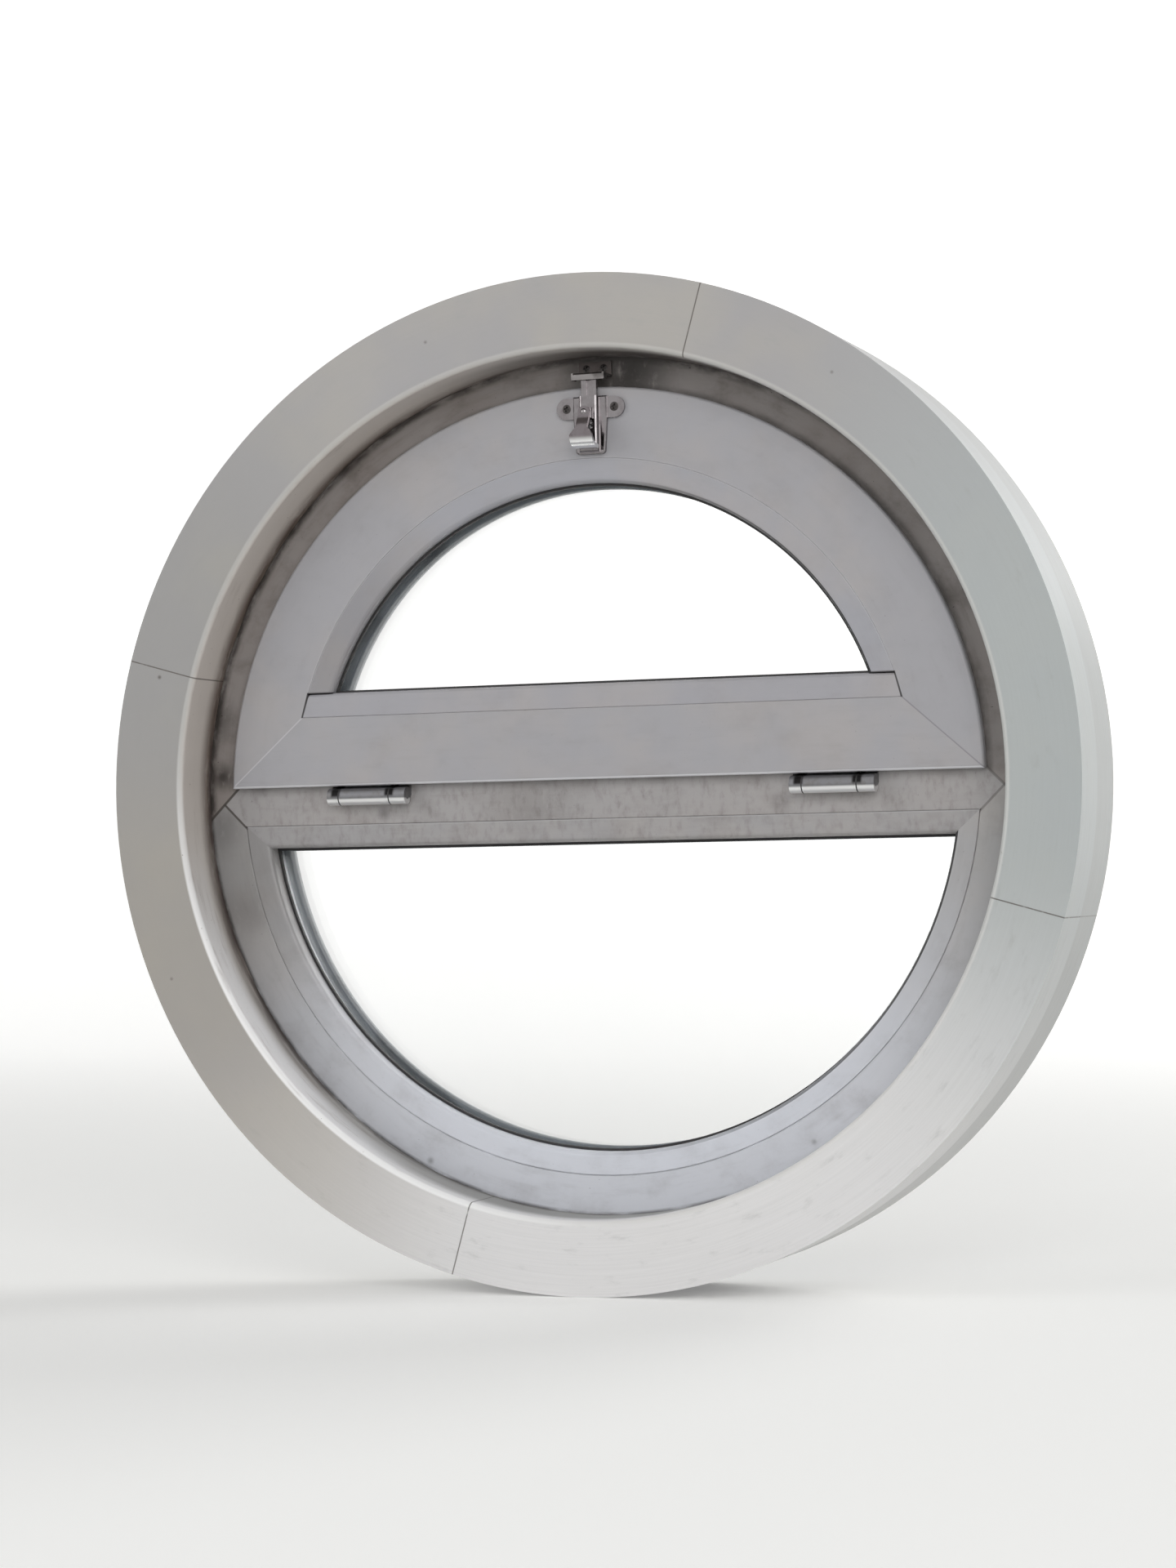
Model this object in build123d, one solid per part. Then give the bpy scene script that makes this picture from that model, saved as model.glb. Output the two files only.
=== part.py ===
from build123d import *
import math
import os

# A round window seen from the room: X to the right, Y outdoors, Z up.
# The origin is the centre of the timber ring, in the plane of its room face.
# Lengths are in millimetres and angles in degrees. In a section, the first
# number is the distance in from the outer edge, the second is the depth, and
# a third one rounds that corner.

# Timber ring, glued up from quarter segments
ring_r = 400.0
lip_w = 59.0
shell_w = 31.0
ring_depth = 120.0
lip_depth = 54.5
ring_arris = 5.0
segment_count = 4
first_joint = 74.0
tongue_w = 30.0
tongue_t = 9.0
tongue_len = 50.0
tongue_fit = 0.1

# Foam tape between the timber lip and the plastic frame
tape_t = 1.5
tape_inset = 4.0

# Plastic frame in the ring
frame_clear = 3.0
frame_w = 56.0
frame_depth = 60.0
wall = 3.0
upstand_h = 18.0
upstand_t = 14.0
bevel_w = 4.0
bevel_d = 8.0
corner_r = 1.2
corner_flats = 4

# Transom across the frame
transom_top = 10.5
transom_core = 37.5
steel_t = 1.5
steel_gap = 0.5
steel_short = 34.0

# Bottom-hung sash
overlap = 6.0
air_gap = 12.0
sash_proud = 12.0
flange_t = 9.0
sash_w = 56.5
sash_depth = 54.0
sash_edge_r = 2.5

# Double glazing and its packing
pane_t = 4.0
cavity = 16.0
glass_clear = 4.0
inner_gasket_t = 3.0
outer_gasket_t = 3.5
gasket_cover = 10.0
gasket_show = 2.0
spacer_w = 7.0
spacer_inset = 2.0
block_len = 60.0
block_w = 20.0
block_spread = 12.0
block_setback = 132.0

# Glazing beads
frame_bead_w = 18.0
sash_bead_w = 19.5
bead_slope = 1.2
bead_nose_r = 4.0
bead_arris_r = 0.7
bead_foot = 3.0

# Seals between sash and frame
seal_w = 4.0
seal_gap = 0.3
seal_inset = 1.0

# Screws that hold the frame to the ring
fix_count = 8
fix_r = 2.5
fix_head_r = 4.8
fix_len = 78.0
fix_setback = 22.0

# Hinges, alike and not handed
hinge_setback = 120.4
barrel_r = 7.0
barrel_drop = 15.0
barrel_out = 9.0
short_knuckle = 9.5
long_knuckle = 13.5
middle_knuckle = 43.0
washer_t = 1.0
pin_r = 3.0
pin_run = 0.05
leaf_t = 2.2
leaf_clear = 0.3
leaf_reach = 29.0
leaf_screw_x = 20.0
leaf_screw_r = 1.9
leaf_head_r = 3.6
leaf_screw_len = 22.0

# Sprung catch at the top of the sash
catch_x = 3.5
catch_drop = 8.0
catch_w = 28.0
catch_foot_w = 24.0
catch_h = 46.0
catch_t = 9.0
catch_base_t = 4.5
catch_wall = 1.5
catch_round = 3.0
catch_arris = 1.0
rib_wall = 1.8
rib_round = 3.0
lug_span = 40.0
lug_drop = 17.0
lug_r = 8.5
lug_t = 2.5
catch_screw_r = 1.9
catch_head_r = 3.6
catch_screw_len = 24.0
bolt_w = 12.4
bolt_t = 4.5
bolt_groove_w = 4.0
bolt_groove = 1.2
bolt_len = 36.0
bolt_rise = 8.5
bolt_fit = 0.3
bolt_travel = 8.0
stem_w = 7.0
stem_h = 8.0
stem_drop = 18.0
pull_w = 9.5
pull_t = 3.0
pull_gap = 7.0
pull_bow = 8.0
pull_h = 27.0
pull_neck = 13.0
pull_flare = 6.0
pull_foot_w = 19.0
pull_foot_gap = 1.5
rivet_r = 1.6
rivet_head_r = 2.6
rivet_head_h = 1.2
rivet_grip = 4.0
spring_r = 1.9
spring_wire = 0.45
spring_turns = 6

# Keeper on the frame above the catch
keeper_w = 27.5
keeper_t = 1.6
keeper_lip = 5.5
keeper_cheek = 8.0
keeper_plate_h = 11.0
keeper_gap = 0.9
keeper_screw_span = 14.5
keeper_screw_r = 1.7
keeper_head_r = 3.2
keeper_screw_len = 20.0

# Drain slots to the outdoors
drain_w = 28.0
drain_h = 5.0
drain_spread = 9.0
drain_setback = 178.0

# Depths, radii and lines that follow from the sizes above
past = 1.0
far = 2 * ring_r
bore_r = ring_r - lip_w
seat_r = ring_r - shell_w
frame_r = seat_r - frame_clear
rebate_r = frame_r - frame_w
frame_face = lip_depth + tape_t
frame_back = frame_face + frame_depth
frame_step = frame_back - upstand_t
transom_foot = transom_top - transom_core
transom_mid = transom_top - transom_core / 2
tip_x = math.sqrt(rebate_r ** 2 - transom_mid ** 2) + transom_core / 2
sash_face = frame_face - sash_proud
sash_back = sash_face + sash_depth
sash_step = sash_back - upstand_t
flange_back = sash_face + flange_t
flange_r = rebate_r + overlap
body_in = overlap + air_gap
sash_rebate_r = flange_r - sash_w
sash_foot = transom_top - overlap
rail_line = sash_foot + sash_w
corner_x = math.sqrt(sash_rebate_r ** 2 - rail_line ** 2)
unit_t = 2 * pane_t + cavity
hinge_x = flange_r - hinge_setback
hinge_len = short_knuckle + middle_knuckle + long_knuckle + 2 * washer_t
axis_y = frame_face - barrel_out
axis_z = transom_top - barrel_drop
catch_edge = math.sqrt(flange_r ** 2 - catch_x ** 2)
catch_top = catch_edge - catch_drop
case_front = sash_face - catch_t
lug_z = catch_edge - lug_drop
bolt_back = sash_face - catch_wall
bolt_front = bolt_back - bolt_t
bolt_tip = catch_edge + bolt_rise
stem_top = catch_edge - stem_drop
pull_back = case_front - pull_gap
pull_z = stem_top - stem_h / 2


def slab(x0, x1, y0, y1, z0, z1):
    """A box between two corners."""
    box = Box(x1 - x0, y1 - y0, z1 - z0)
    return Pos((x0 + x1) / 2, (y0 + y1) / 2, (z0 + z1) / 2) * box


def disc(radius, near, back):
    """A round plate on the window's axis, between two depths."""
    return Pos(0, (near + back) / 2, 0) * Rot(90, 0, 0) * Cylinder(radius, back - near)


def outlined(outline):
    """A flat face inside an outline of points, with a corner rounded where a point says so."""
    face = make_face(Polyline(*[point[:2] for point in outline], close=True))
    for point in outline:
        if len(point) > 2:
            corner = face.vertices().sort_by_distance(point[:2])[0]
            face = fillet(corner, point[2])
    return face


def turned(outline):
    """A ring: an outline of (radius, depth) points turned about the window's axis."""
    return revolve(outlined(outline), Axis.Y)


def bar(outline, half_length):
    """A straight length: an outline of (depth, height) points drawn out both ways."""
    return extrude(Plane.YZ * outlined(outline), half_length, both=True)


def plate(outline, near, back):
    """A plate with an outline of (x, height) points, between two depths."""
    return extrude(Plane.XZ.offset(-back) * outlined(outline), back - near)


def rectangle(a0, a1, b0, b1):
    """The four corners of a rectangle."""
    return [(a0, b0), (a1, b0), (a1, b1), (a0, b1)]


def flats(section):
    """A section whose rounded corners are made of short flats, which mitre cleanly."""
    points = []
    for before, point, after in zip(section[-1:] + section[:-1], section, section[1:] + section[:1]):
        corner = Vector(*point[:2])
        if len(point) == 2:
            points.append(corner)
            continue
        back = (Vector(*before[:2]) - corner).normalized()
        ahead = (Vector(*after[:2]) - corner).normalized()
        half = math.radians(back.get_angle(ahead)) / 2
        centre = corner + (back + ahead).normalized() * (point[2] / math.sin(half))
        start = corner + back * (point[2] / math.tan(half)) - centre
        finish = corner + ahead * (point[2] / math.tan(half)) - centre
        for step in range(corner_flats + 1):
            share = step / corner_flats
            way = (start * (1 - share) + finish * share).normalized()
            points.append(centre + way * point[2])
    return [(point.X, point.Y) for point in points]


def bent(section, outer_r):
    """A section turned into a ring whose outer edge is at a radius."""
    return turned([(outer_r - inward, depth) for inward, depth in flats(section)])


def straight(section, edge, half_length, way=1):
    """A section drawn out level, its outer edge at a height, facing up or down."""
    return bar([(depth, edge + way * inward) for inward, depth in flats(section)], half_length)


def half_disc(radius, chord, way, near, back):
    """The part of a disc above (way 1) or below (way -1) a level chord."""
    low, high = (chord, far) if way > 0 else (-far, chord)
    return disc(radius, near, back) & slab(-far, far, near - past, back + past, low, high)


def half_loop(radius, chord, way, width, near, back):
    """A closed loop that follows a half disc's edge, some width wide."""
    inner = half_disc(radius - width, chord + way * width, way, near - past, back + past)
    return half_disc(radius, chord, way, near, back) - inner


def around(shape, angle):
    """A shape turned about the window's axis, from 3 o'clock towards 12."""
    return Rot(0, -angle, 0) * shape


def screw(length, shank_r, head_r):
    """A countersunk screw along -Z, with its head's top at the origin and a point."""
    head_h = head_r - shank_r
    head = Pos(0, 0, -head_h / 2) * Cone(shank_r, head_r, head_h)
    tip_h = 2 * shank_r
    shank = Pos(0, 0, -(length - tip_h) / 2) * Cylinder(shank_r, length - tip_h)
    tip = Pos(0, 0, tip_h / 2 - length) * Cone(shank_r / 4, shank_r, tip_h)
    return shank + head + tip


def save(name, *solids):
    """Write one node."""
    shape = solids[0] if len(solids) == 1 else Compound(children=list(solids))
    shape.label = name
    export_step(shape, f"parts/{name}.step")


def ring_profile():
    """The timber section as a face: lip in front, rebate for the frame behind."""
    corner = [(bore_r, ring_arris), (bore_r, lip_depth), (seat_r, lip_depth),
              (seat_r, ring_depth), (ring_r, ring_depth), (ring_r, 0), (bore_r + ring_arris, 0)]
    edge = RadiusArc((bore_r + ring_arris, 0), (bore_r, ring_arris), ring_arris)
    return make_face([Polyline(*corner), edge])


def tongue(clear):
    """A loose tongue across the joint at 3 o'clock, or with a clearance its slot."""
    middle_r = (bore_r + ring_r) / 2
    depth = lip_depth / 2
    w, t, length = tongue_w / 2 + clear, tongue_t / 2 + clear, tongue_len / 2 + clear
    return slab(middle_r - w, middle_r + w, depth - t, depth + t, -length, length)


def fixing_place(shape, index):
    """Put a shape made along -Z at a frame screw, pointing outwards from the rebate."""
    angle = 360 / fix_count * (index + 0.5)
    depth = frame_step - fix_setback
    return around(Pos(rebate_r, depth, 0) * Rot(0, -90, 0) * shape, angle)


def fixing_screws():
    """The screws through the frame into the timber."""
    return [fixing_place(screw(fix_len, fix_r, fix_head_r), i) for i in range(fix_count)]


def ring_segments():
    """Quarter segments with butt joints, slotted for the tongues."""
    step = 360 / segment_count
    whole = revolve(ring_profile(), Axis.Y)
    slots = [around(tongue(tongue_fit), first_joint + i * step) for i in range(segment_count)]
    whole = whole - slots - fixing_screws()
    wedge = plate(rectangle(0, far, 0, far), 0, ring_depth)
    return [whole & around(wedge, first_joint + i * step) for i in range(segment_count)]


def ring_tongues():
    """The tongues glued across the four joints."""
    step = 360 / segment_count
    return [around(tongue(0), first_joint + i * step) for i in range(segment_count)]


def lip_tape():
    """Foam tape on the back of the timber lip."""
    tape = disc(frame_r - tape_inset, lip_depth, frame_face)
    return tape - disc(bore_r + tape_inset, lip_depth - past, frame_face + past)


def frame_section():
    """The frame's outline: a box with an upstand on its outdoor side."""
    lip = frame_w + upstand_h
    return [(0, frame_face), (frame_w, frame_face, corner_r), (frame_w, frame_step),
            (lip, frame_step, corner_r), (lip, frame_back - bevel_d),
            (lip - bevel_w, frame_back, corner_r), (0, frame_back)]


def frame_hollows():
    """The frame's two chambers."""
    return [rectangle(wall, frame_w - wall, frame_face + wall, frame_step),
            rectangle(wall, frame_w + upstand_h - wall - bevel_w, frame_step + wall,
                      frame_back - wall)]


def transom_hexagon(near, back):
    """The space that the transom takes between the frame's bent lengths."""
    h = transom_core / 2 + upstand_h + bevel_w / 2
    points = [(-tip_x, transom_mid), (h - tip_x, transom_mid + h), (tip_x - h, transom_mid + h),
              (tip_x, transom_mid), (tip_x - h, transom_mid - h), (h - tip_x, transom_mid - h)]
    return plate(points, near, back)


def upper_space(near, back):
    """The space above the joint lines, which run on at 45 degrees to the rim."""
    h = transom_core / 2 + upstand_h + bevel_w / 2
    run = ring_r - tip_x
    points = [(-tip_x - run, transom_mid - run), (h - tip_x, transom_mid + h),
              (tip_x - h, transom_mid + h), (tip_x + run, transom_mid - run),
              (tip_x + run, far), (-tip_x - run, far)]
    return plate(points, near, back)


def lower_space(near, back):
    """The space below the joint lines and the transom."""
    h = transom_core / 2 + upstand_h + bevel_w / 2
    run = ring_r - tip_x
    points = [(-tip_x - run, transom_mid - run), (-tip_x, transom_mid),
              (h - tip_x, transom_mid - h), (tip_x - h, transom_mid - h), (tip_x, transom_mid),
              (tip_x + run, transom_mid - run), (tip_x + run, -far), (-tip_x - run, -far)]
    return plate(points, near, back)


def drain(x, low, near, back):
    """A round-ended drain slot."""
    half = (drain_w - drain_h) / 2
    ends = [Pos(x + side * half, (near + back) / 2, low + drain_h / 2) * Rot(90, 0, 0)
            * Cylinder(drain_h / 2, back - near) for side in (-1, 1)]
    return slab(x - half, x + half, near, back, low, low + drain_h) + ends


def frame_arches():
    """The upper and lower bent lengths of the frame."""
    ring = bent(frame_section(), frame_r)
    for hollow in frame_hollows():
        ring = ring - bent(hollow, frame_r)
    ring = ring - fixing_screws()
    upper = ring & upper_space(0, ring_depth)
    lower = ring & lower_space(0, ring_depth)
    for side in (-1, 1):
        slot = drain(0, -rebate_r - drain_h - wall, frame_back - wall - past, frame_back + past)
        lower = lower - around(slot, side * drain_spread)
    return upper, lower


def transom_bar():
    """The transom, with an upstand up and down and ends cut to a point."""
    top = transom_top + upstand_h
    foot = transom_foot - upstand_h
    slope = frame_back - bevel_d
    outline = [(frame_face, transom_foot, corner_r), (frame_face, transom_top, corner_r),
               (frame_step, transom_top), (frame_step, top, corner_r), (slope, top),
               (frame_back, top - bevel_w, corner_r), (frame_back, foot + bevel_w, corner_r),
               (slope, foot), (frame_step, foot, corner_r), (frame_step, transom_foot)]
    core = rectangle(frame_face + wall, frame_step, transom_foot + wall, transom_top - wall)
    back = rectangle(frame_step + wall, frame_back - wall, foot + bevel_w + wall,
                     top - bevel_w - wall)
    shape = bar(outline, tip_x) - bar(core, tip_x) - bar(back, tip_x)
    shape = shape & transom_hexagon(0, ring_depth)
    for side in (-1, 1):
        shape = shape - drain(side * (tip_x - drain_setback), transom_top - drain_h - wall,
                              frame_back - wall - past, frame_back + past)
    return shape - leaf_screws(frame_leaf_screw)


def box_tube(y0, y1, z0, z1, half_length):
    """A square-cornered steel tube."""
    outer = bar(rectangle(y0, y1, z0, z1), half_length)
    inner = bar(rectangle(y0 + steel_t, y1 - steel_t, z0 + steel_t, z1 - steel_t), half_length)
    return outer - inner


def transom_steel():
    """The steel in the transom's main chamber."""
    inset = wall + steel_gap
    tube = box_tube(frame_face + inset, frame_step - steel_gap, transom_foot + inset,
                    transom_top - inset, tip_x - steel_short)
    return tube - leaf_screws(frame_leaf_screw)


def sash_section():
    """The sash's outline: an overlapping flange in front, an upstand behind."""
    lip = sash_w + sash_bead_w
    return [(0, sash_face, sash_edge_r), (0, flange_back, corner_r), (body_in, flange_back),
            (body_in, sash_back, corner_r), (lip - bevel_w, sash_back, corner_r),
            (lip, sash_back - bevel_d), (lip, sash_step, corner_r), (sash_w, sash_step),
            (sash_w, sash_face, bead_arris_r)]


def sash_hollows():
    """The sash's two chambers."""
    return [rectangle(body_in + wall, sash_w - wall, sash_face + wall, sash_step),
            rectangle(body_in + wall, sash_w + sash_bead_w - wall - bevel_w, sash_step + wall,
                      sash_back - wall)]


def sash_mitre(near, back):
    """The space of the bottom rail, up to the mitres at its ends."""
    outer_x = math.sqrt(flange_r ** 2 - sash_foot ** 2)
    slope = (rail_line - sash_foot) / (outer_x - corner_x)
    out_x = outer_x + air_gap
    low = sash_foot - slope * air_gap
    in_x = corner_x - sash_bead_w
    high = rail_line + slope * sash_bead_w
    points = [(-out_x, low), (-in_x, high), (in_x, high), (out_x, low)]
    return plate(points, near, back)


def sash_frame():
    """The sash's bent length and its bottom rail."""
    arch = bent(sash_section(), flange_r)
    rail = straight(sash_section(), sash_foot, flange_r)
    for hollow in sash_hollows():
        arch = arch - bent(hollow, flange_r)
        rail = rail - straight(hollow, sash_foot, flange_r)
    corner = sash_mitre(0, ring_depth)
    top = plate([(-far, sash_foot), (far, sash_foot), (far, far), (-far, far)], 0, ring_depth)
    arch = (arch & top) - corner
    rail = rail & corner
    arch = arch - catch_screws()
    return arch, rail - leaf_screws(sash_leaf_screw)


def sash_steel():
    """The steel in the bottom rail."""
    inset = wall + steel_gap
    tube = box_tube(sash_face + inset, sash_step - steel_gap, sash_foot + body_in + inset,
                    rail_line - inset, corner_x)
    return tube - leaf_screws(sash_leaf_screw)


class Light:
    """One glazed opening: a half-round rebate with a level side."""

    def __init__(self, radius, chord, way, front, step, bead_w):
        self.radius = radius
        self.chord = chord
        self.way = way
        self.front = front
        self.bead_w = bead_w
        self.sight = radius - bead_w
        self.glass_back = step - outer_gasket_t
        self.glass_front = self.glass_back - unit_t
        self.bead_back = self.glass_front - inner_gasket_t

    def edge(self):
        """Radius and chord of the glass, clear of the rebate."""
        return self.radius - glass_clear, self.chord + self.way * glass_clear

    def pane(self, front):
        """One pane of glass, with its room face at a depth."""
        radius, chord = self.edge()
        return half_disc(radius, chord, self.way, front, front + pane_t)

    def inner_pane(self):
        """The pane on the room side."""
        return self.pane(self.glass_front)

    def outer_pane(self):
        """The pane on the outdoor side."""
        return self.pane(self.glass_back - pane_t)

    def spacer(self):
        """The spacer bar between the panes."""
        radius, chord = self.edge()
        return half_loop(radius - spacer_inset, chord + self.way * spacer_inset, self.way,
                         spacer_w, self.glass_front + pane_t, self.glass_back - pane_t)

    def gasket(self, near, back):
        """A rubber loop that shows a little inside the sight line."""
        inset = self.bead_w - gasket_cover
        return half_loop(self.radius - inset, self.chord + self.way * inset, self.way,
                         gasket_cover + gasket_show, near, back)

    def inner_gasket(self):
        """Rubber between bead and glass."""
        return self.gasket(self.bead_back, self.glass_front)

    def outer_gasket(self):
        """Rubber between glass and upstand."""
        return self.gasket(self.glass_back, self.glass_back + outer_gasket_t)

    def bead_section(self):
        """The bead: a sloping face with a rounded nose, and a foot behind."""
        w, back = self.bead_w, self.bead_back
        return [(0, self.front, bead_arris_r), (w, self.front + bead_slope, bead_nose_r),
                (w, back), (bead_foot, back), (bead_foot, back + bead_foot),
                (0, back + bead_foot)]

    def curved_bead(self):
        """The bead turned right round, before it is cut to its half."""
        return bent(self.bead_section(), self.radius)

    def straight_bead(self):
        """The bead along the level side, its ends cut to the rebate."""
        length = straight(self.bead_section(), self.chord, self.radius, self.way)
        return length & disc(self.radius, 0, ring_depth)


def sash_light():
    """The glazing of the sash."""
    return Light(sash_rebate_r, rail_line, 1, sash_face, sash_step, sash_bead_w)


def lower_light():
    """The fixed glazing below the transom."""
    return Light(rebate_r, transom_foot, -1, frame_face, frame_step, frame_bead_w)


def sash_beads():
    """The curved bead stands on the straight one, which runs the full width."""
    light = sash_light()
    line = rail_line + sash_bead_w
    curved = light.curved_bead() & slab(-far, far, 0, ring_depth, line, far)
    return curved, light.straight_bead()


def lower_beads():
    """The curved and the straight bead meet in mitres."""
    light = lower_light()
    line = transom_foot - frame_bead_w
    outer_x = math.sqrt(rebate_r ** 2 - transom_foot ** 2)
    inner_x = math.sqrt(light.sight ** 2 - line ** 2)
    slope = frame_bead_w / (outer_x - inner_x)
    reach = 2 * frame_bead_w
    mitre = plate([(reach / slope - outer_x, transom_foot - reach),
                   (-outer_x - reach / slope, transom_foot + reach),
                   (outer_x + reach / slope, transom_foot + reach),
                   (outer_x - reach / slope, transom_foot - reach)], 0, ring_depth)
    below = slab(-far, far, 0, ring_depth, -far, transom_foot)
    return (light.curved_bead() & below) - mitre, light.straight_bead() & mitre


def lower_blocks():
    """Packers on the rebate under the lower glass."""
    light = lower_light()
    middle = (light.glass_front + light.glass_back) / 2
    ring = disc(rebate_r, middle - block_w / 2, middle + block_w / 2)
    ring = ring - disc(rebate_r - glass_clear, 0, ring_depth)
    cutter = slab(-block_len / 2, block_len / 2, 0, ring_depth, -far, 0)
    return [ring & around(cutter, side * block_spread) for side in (-1, 1)]


def sash_blocks():
    """Packers on the bottom rail under the sash's glass."""
    light = sash_light()
    middle = (light.glass_front + light.glass_back) / 2
    block = slab(-block_len / 2, block_len / 2, middle - block_w / 2, middle + block_w / 2,
                 rail_line, rail_line + glass_clear)
    return [Pos(side * (corner_x - block_setback), 0, 0) * block for side in (-1, 1)]


def frame_seal():
    """The seal on the frame's upstand, which the sash's back closes on."""
    inset = upstand_h - seal_inset - seal_w
    return half_loop(rebate_r - inset, transom_top + inset, 1, seal_w,
                     sash_back + seal_gap, frame_step)


def sash_seal():
    """The seal on the back of the sash's flange, left out at the hinges."""
    loop = half_loop(flange_r - seal_inset, sash_foot + seal_inset, 1, seal_w,
                     flange_back, frame_face - seal_gap)
    for centre in (-hinge_x, hinge_x):
        half = hinge_len / 2 + seal_inset
        loop = loop - slab(centre - half, centre + half, 0, ring_depth, -far, rail_line)
    return loop


def knuckle(x0, x1, bore):
    """A length of the hinge's barrel."""
    tube = Cylinder(barrel_r, x1 - x0) - Cylinder(bore, x1 - x0)
    return Pos((x0 + x1) / 2, axis_y, axis_z) * Rot(0, 90, 0) * tube


def knuckle_ends(centre):
    """The places along X where the hinge's knuckles start and stop."""
    a = centre - hinge_len / 2
    b = a + short_knuckle
    c = b + washer_t
    d = c + middle_knuckle
    e = d + washer_t
    return a, b, c, d, e, e + long_knuckle


def arm(x0, x1, face, top):
    """The web from a knuckle up through the gap behind the flange."""
    under = sash_foot - leaf_clear
    inside = (pin_r + barrel_r) / 2
    outline = [(axis_y + inside, axis_z), (face + leaf_t, axis_z), (face + leaf_t, top),
               (face, top), (face, under), (axis_y, axis_z + inside)]
    web = Plane.YZ.offset(x0) * make_face(Polyline(*outline, close=True))
    return extrude(web, x1 - x0)


def frame_leaf(centre):
    """The leaf on the transom: two outer knuckles and a plate in the rebate."""
    a, b, c, d, e, f = knuckle_ends(centre)
    face = frame_face - leaf_t
    top = transom_top + leaf_t
    shape = slab(a, f, frame_face, frame_face + leaf_reach, transom_top, top)
    for x0, x1 in ((a, b), (e, f)):
        shape = shape + knuckle(x0, x1, pin_r) + arm(x0, x1, face, top)
    shape = shape - slab(c - leaf_clear, d + leaf_clear, 0, frame_face + leaf_clear, -far, far)
    shape = shape - hinge_pin(centre)
    return shape - [frame_leaf_screw(centre + side * leaf_screw_x) for side in (-1, 1)]


def sash_leaf(centre):
    """The leaf on the sash: the middle knuckle and a plate under the rail's body."""
    a, b, c, d, e, f = knuckle_ends(centre)
    top = sash_foot + body_in
    shape = slab(c, d, flange_back, flange_back + leaf_reach, top - leaf_t, top)
    shape = shape + arm(c, d, flange_back, top)
    shape = shape - Pos(centre, axis_y, axis_z) * Rot(0, 90, 0) * Cylinder(pin_r + pin_run, far)
    shape = shape + knuckle(c, d, pin_r + pin_run)
    return shape - [sash_leaf_screw(centre + side * leaf_screw_x / 2) for side in (-1, 1)]


def frame_leaf_screw(x):
    """A screw down through the frame leaf into the transom."""
    depth = frame_face + leaf_reach / 2
    return Pos(x, depth, transom_top + leaf_t) * screw(leaf_screw_len, leaf_screw_r, leaf_head_r)


def sash_leaf_screw(x):
    """A screw up through the sash leaf into the rail."""
    depth = flange_back + leaf_reach * 2 / 3
    turned_up = Rot(180, 0, 0) * screw(leaf_screw_len, leaf_screw_r, leaf_head_r)
    return Pos(x, depth, sash_foot + body_in - leaf_t) * turned_up


def leaf_screws(one):
    """All the screws of one kind, at both hinges."""
    spread = leaf_screw_x if one is frame_leaf_screw else leaf_screw_x / 2
    return [one(centre + side * spread) for centre in (-hinge_x, hinge_x) for side in (-1, 1)]


def hinge_pin(centre):
    """The pin through all three knuckles."""
    return Pos(centre, axis_y, axis_z) * Rot(0, 90, 0) * Cylinder(pin_r, hinge_len)


def hinge_washers(centre):
    """Dark plastic washers between the knuckles."""
    a, b, c, d, e, f = knuckle_ends(centre)
    return [knuckle(x0, x1, pin_r) for x0, x1 in ((b, c), (d, e))]


def catch_screws():
    """The two screws through the catch's lugs."""
    one = Rot(90, 0, 0) * screw(catch_screw_len, catch_screw_r, catch_head_r)
    return [Pos(catch_x + side * lug_span / 2, sash_face - lug_t, lug_z) * one
            for side in (-1, 1)]


def bolt_space(clear):
    """The bolt's outline: a flat bar in front of the sash's face."""
    half = bolt_w / 2 + clear
    return slab(catch_x - half, catch_x + half, bolt_front - clear, bolt_back + clear / 2,
                bolt_tip - bolt_len, bolt_tip)


def catch_base():
    """The catch's base plate, centred, with a round lug on each side."""
    top, foot, shoulder = catch_top, catch_top - catch_h, lug_z - lug_r
    half, half_foot, front = catch_w / 2, catch_foot_w / 2, sash_face - catch_base_t
    base = plate([(-half, top), (-half, shoulder), (-half_foot, foot, catch_round),
                  (half_foot, foot, catch_round), (half, shoulder), (half, top)],
                 front, sash_face)
    base = chamfer(base.faces().sort_by(Axis.Y)[0].edges(), catch_arris)
    lugs = [Pos(side * lug_span / 2, sash_face - lug_t / 2, lug_z) * Rot(90, 0, 0)
            * Cylinder(lug_r, lug_t) for side in (-1, 1)]
    bridge = slab(-lug_span / 2, lug_span / 2, sash_face - lug_t, sash_face,
                  lug_z - lug_r, lug_z + lug_r)
    return base + bridge + lugs


def catch_body():
    """The case: a base plate with a hollow rib for the bolt, slotted for its stem."""
    foot = catch_top - catch_h
    wide = bolt_w / 2 + bolt_fit
    half = wide + rib_wall
    rib = slab(-half, half, case_front, sash_face, foot + catch_wall, catch_top)
    front = rib.faces().sort_by(Axis.Y)[0]
    rib = fillet(front.edges().filter_by(Axis.Z) + front.edges().group_by(Axis.Z)[0], rib_round)
    shape = Pos(catch_x, 0, 0) * (catch_base() + rib)
    room = slab(catch_x - wide, catch_x + wide, bolt_front - bolt_fit, bolt_back + bolt_fit / 2,
                foot + 2 * catch_wall, far)
    narrow = stem_w / 2 + bolt_fit
    opening = slab(catch_x - narrow, catch_x + narrow, 0, bolt_back,
                   stem_top - stem_h - bolt_travel - bolt_fit, stem_top + bolt_fit)
    return shape - room - opening - catch_screws()


def bolt_stem():
    """The stem that joins the bolt to its pull through the case's slot."""
    return slab(catch_x - stem_w / 2, catch_x + stem_w / 2, pull_back, bolt_back,
                stem_top - stem_h, stem_top)


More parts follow.
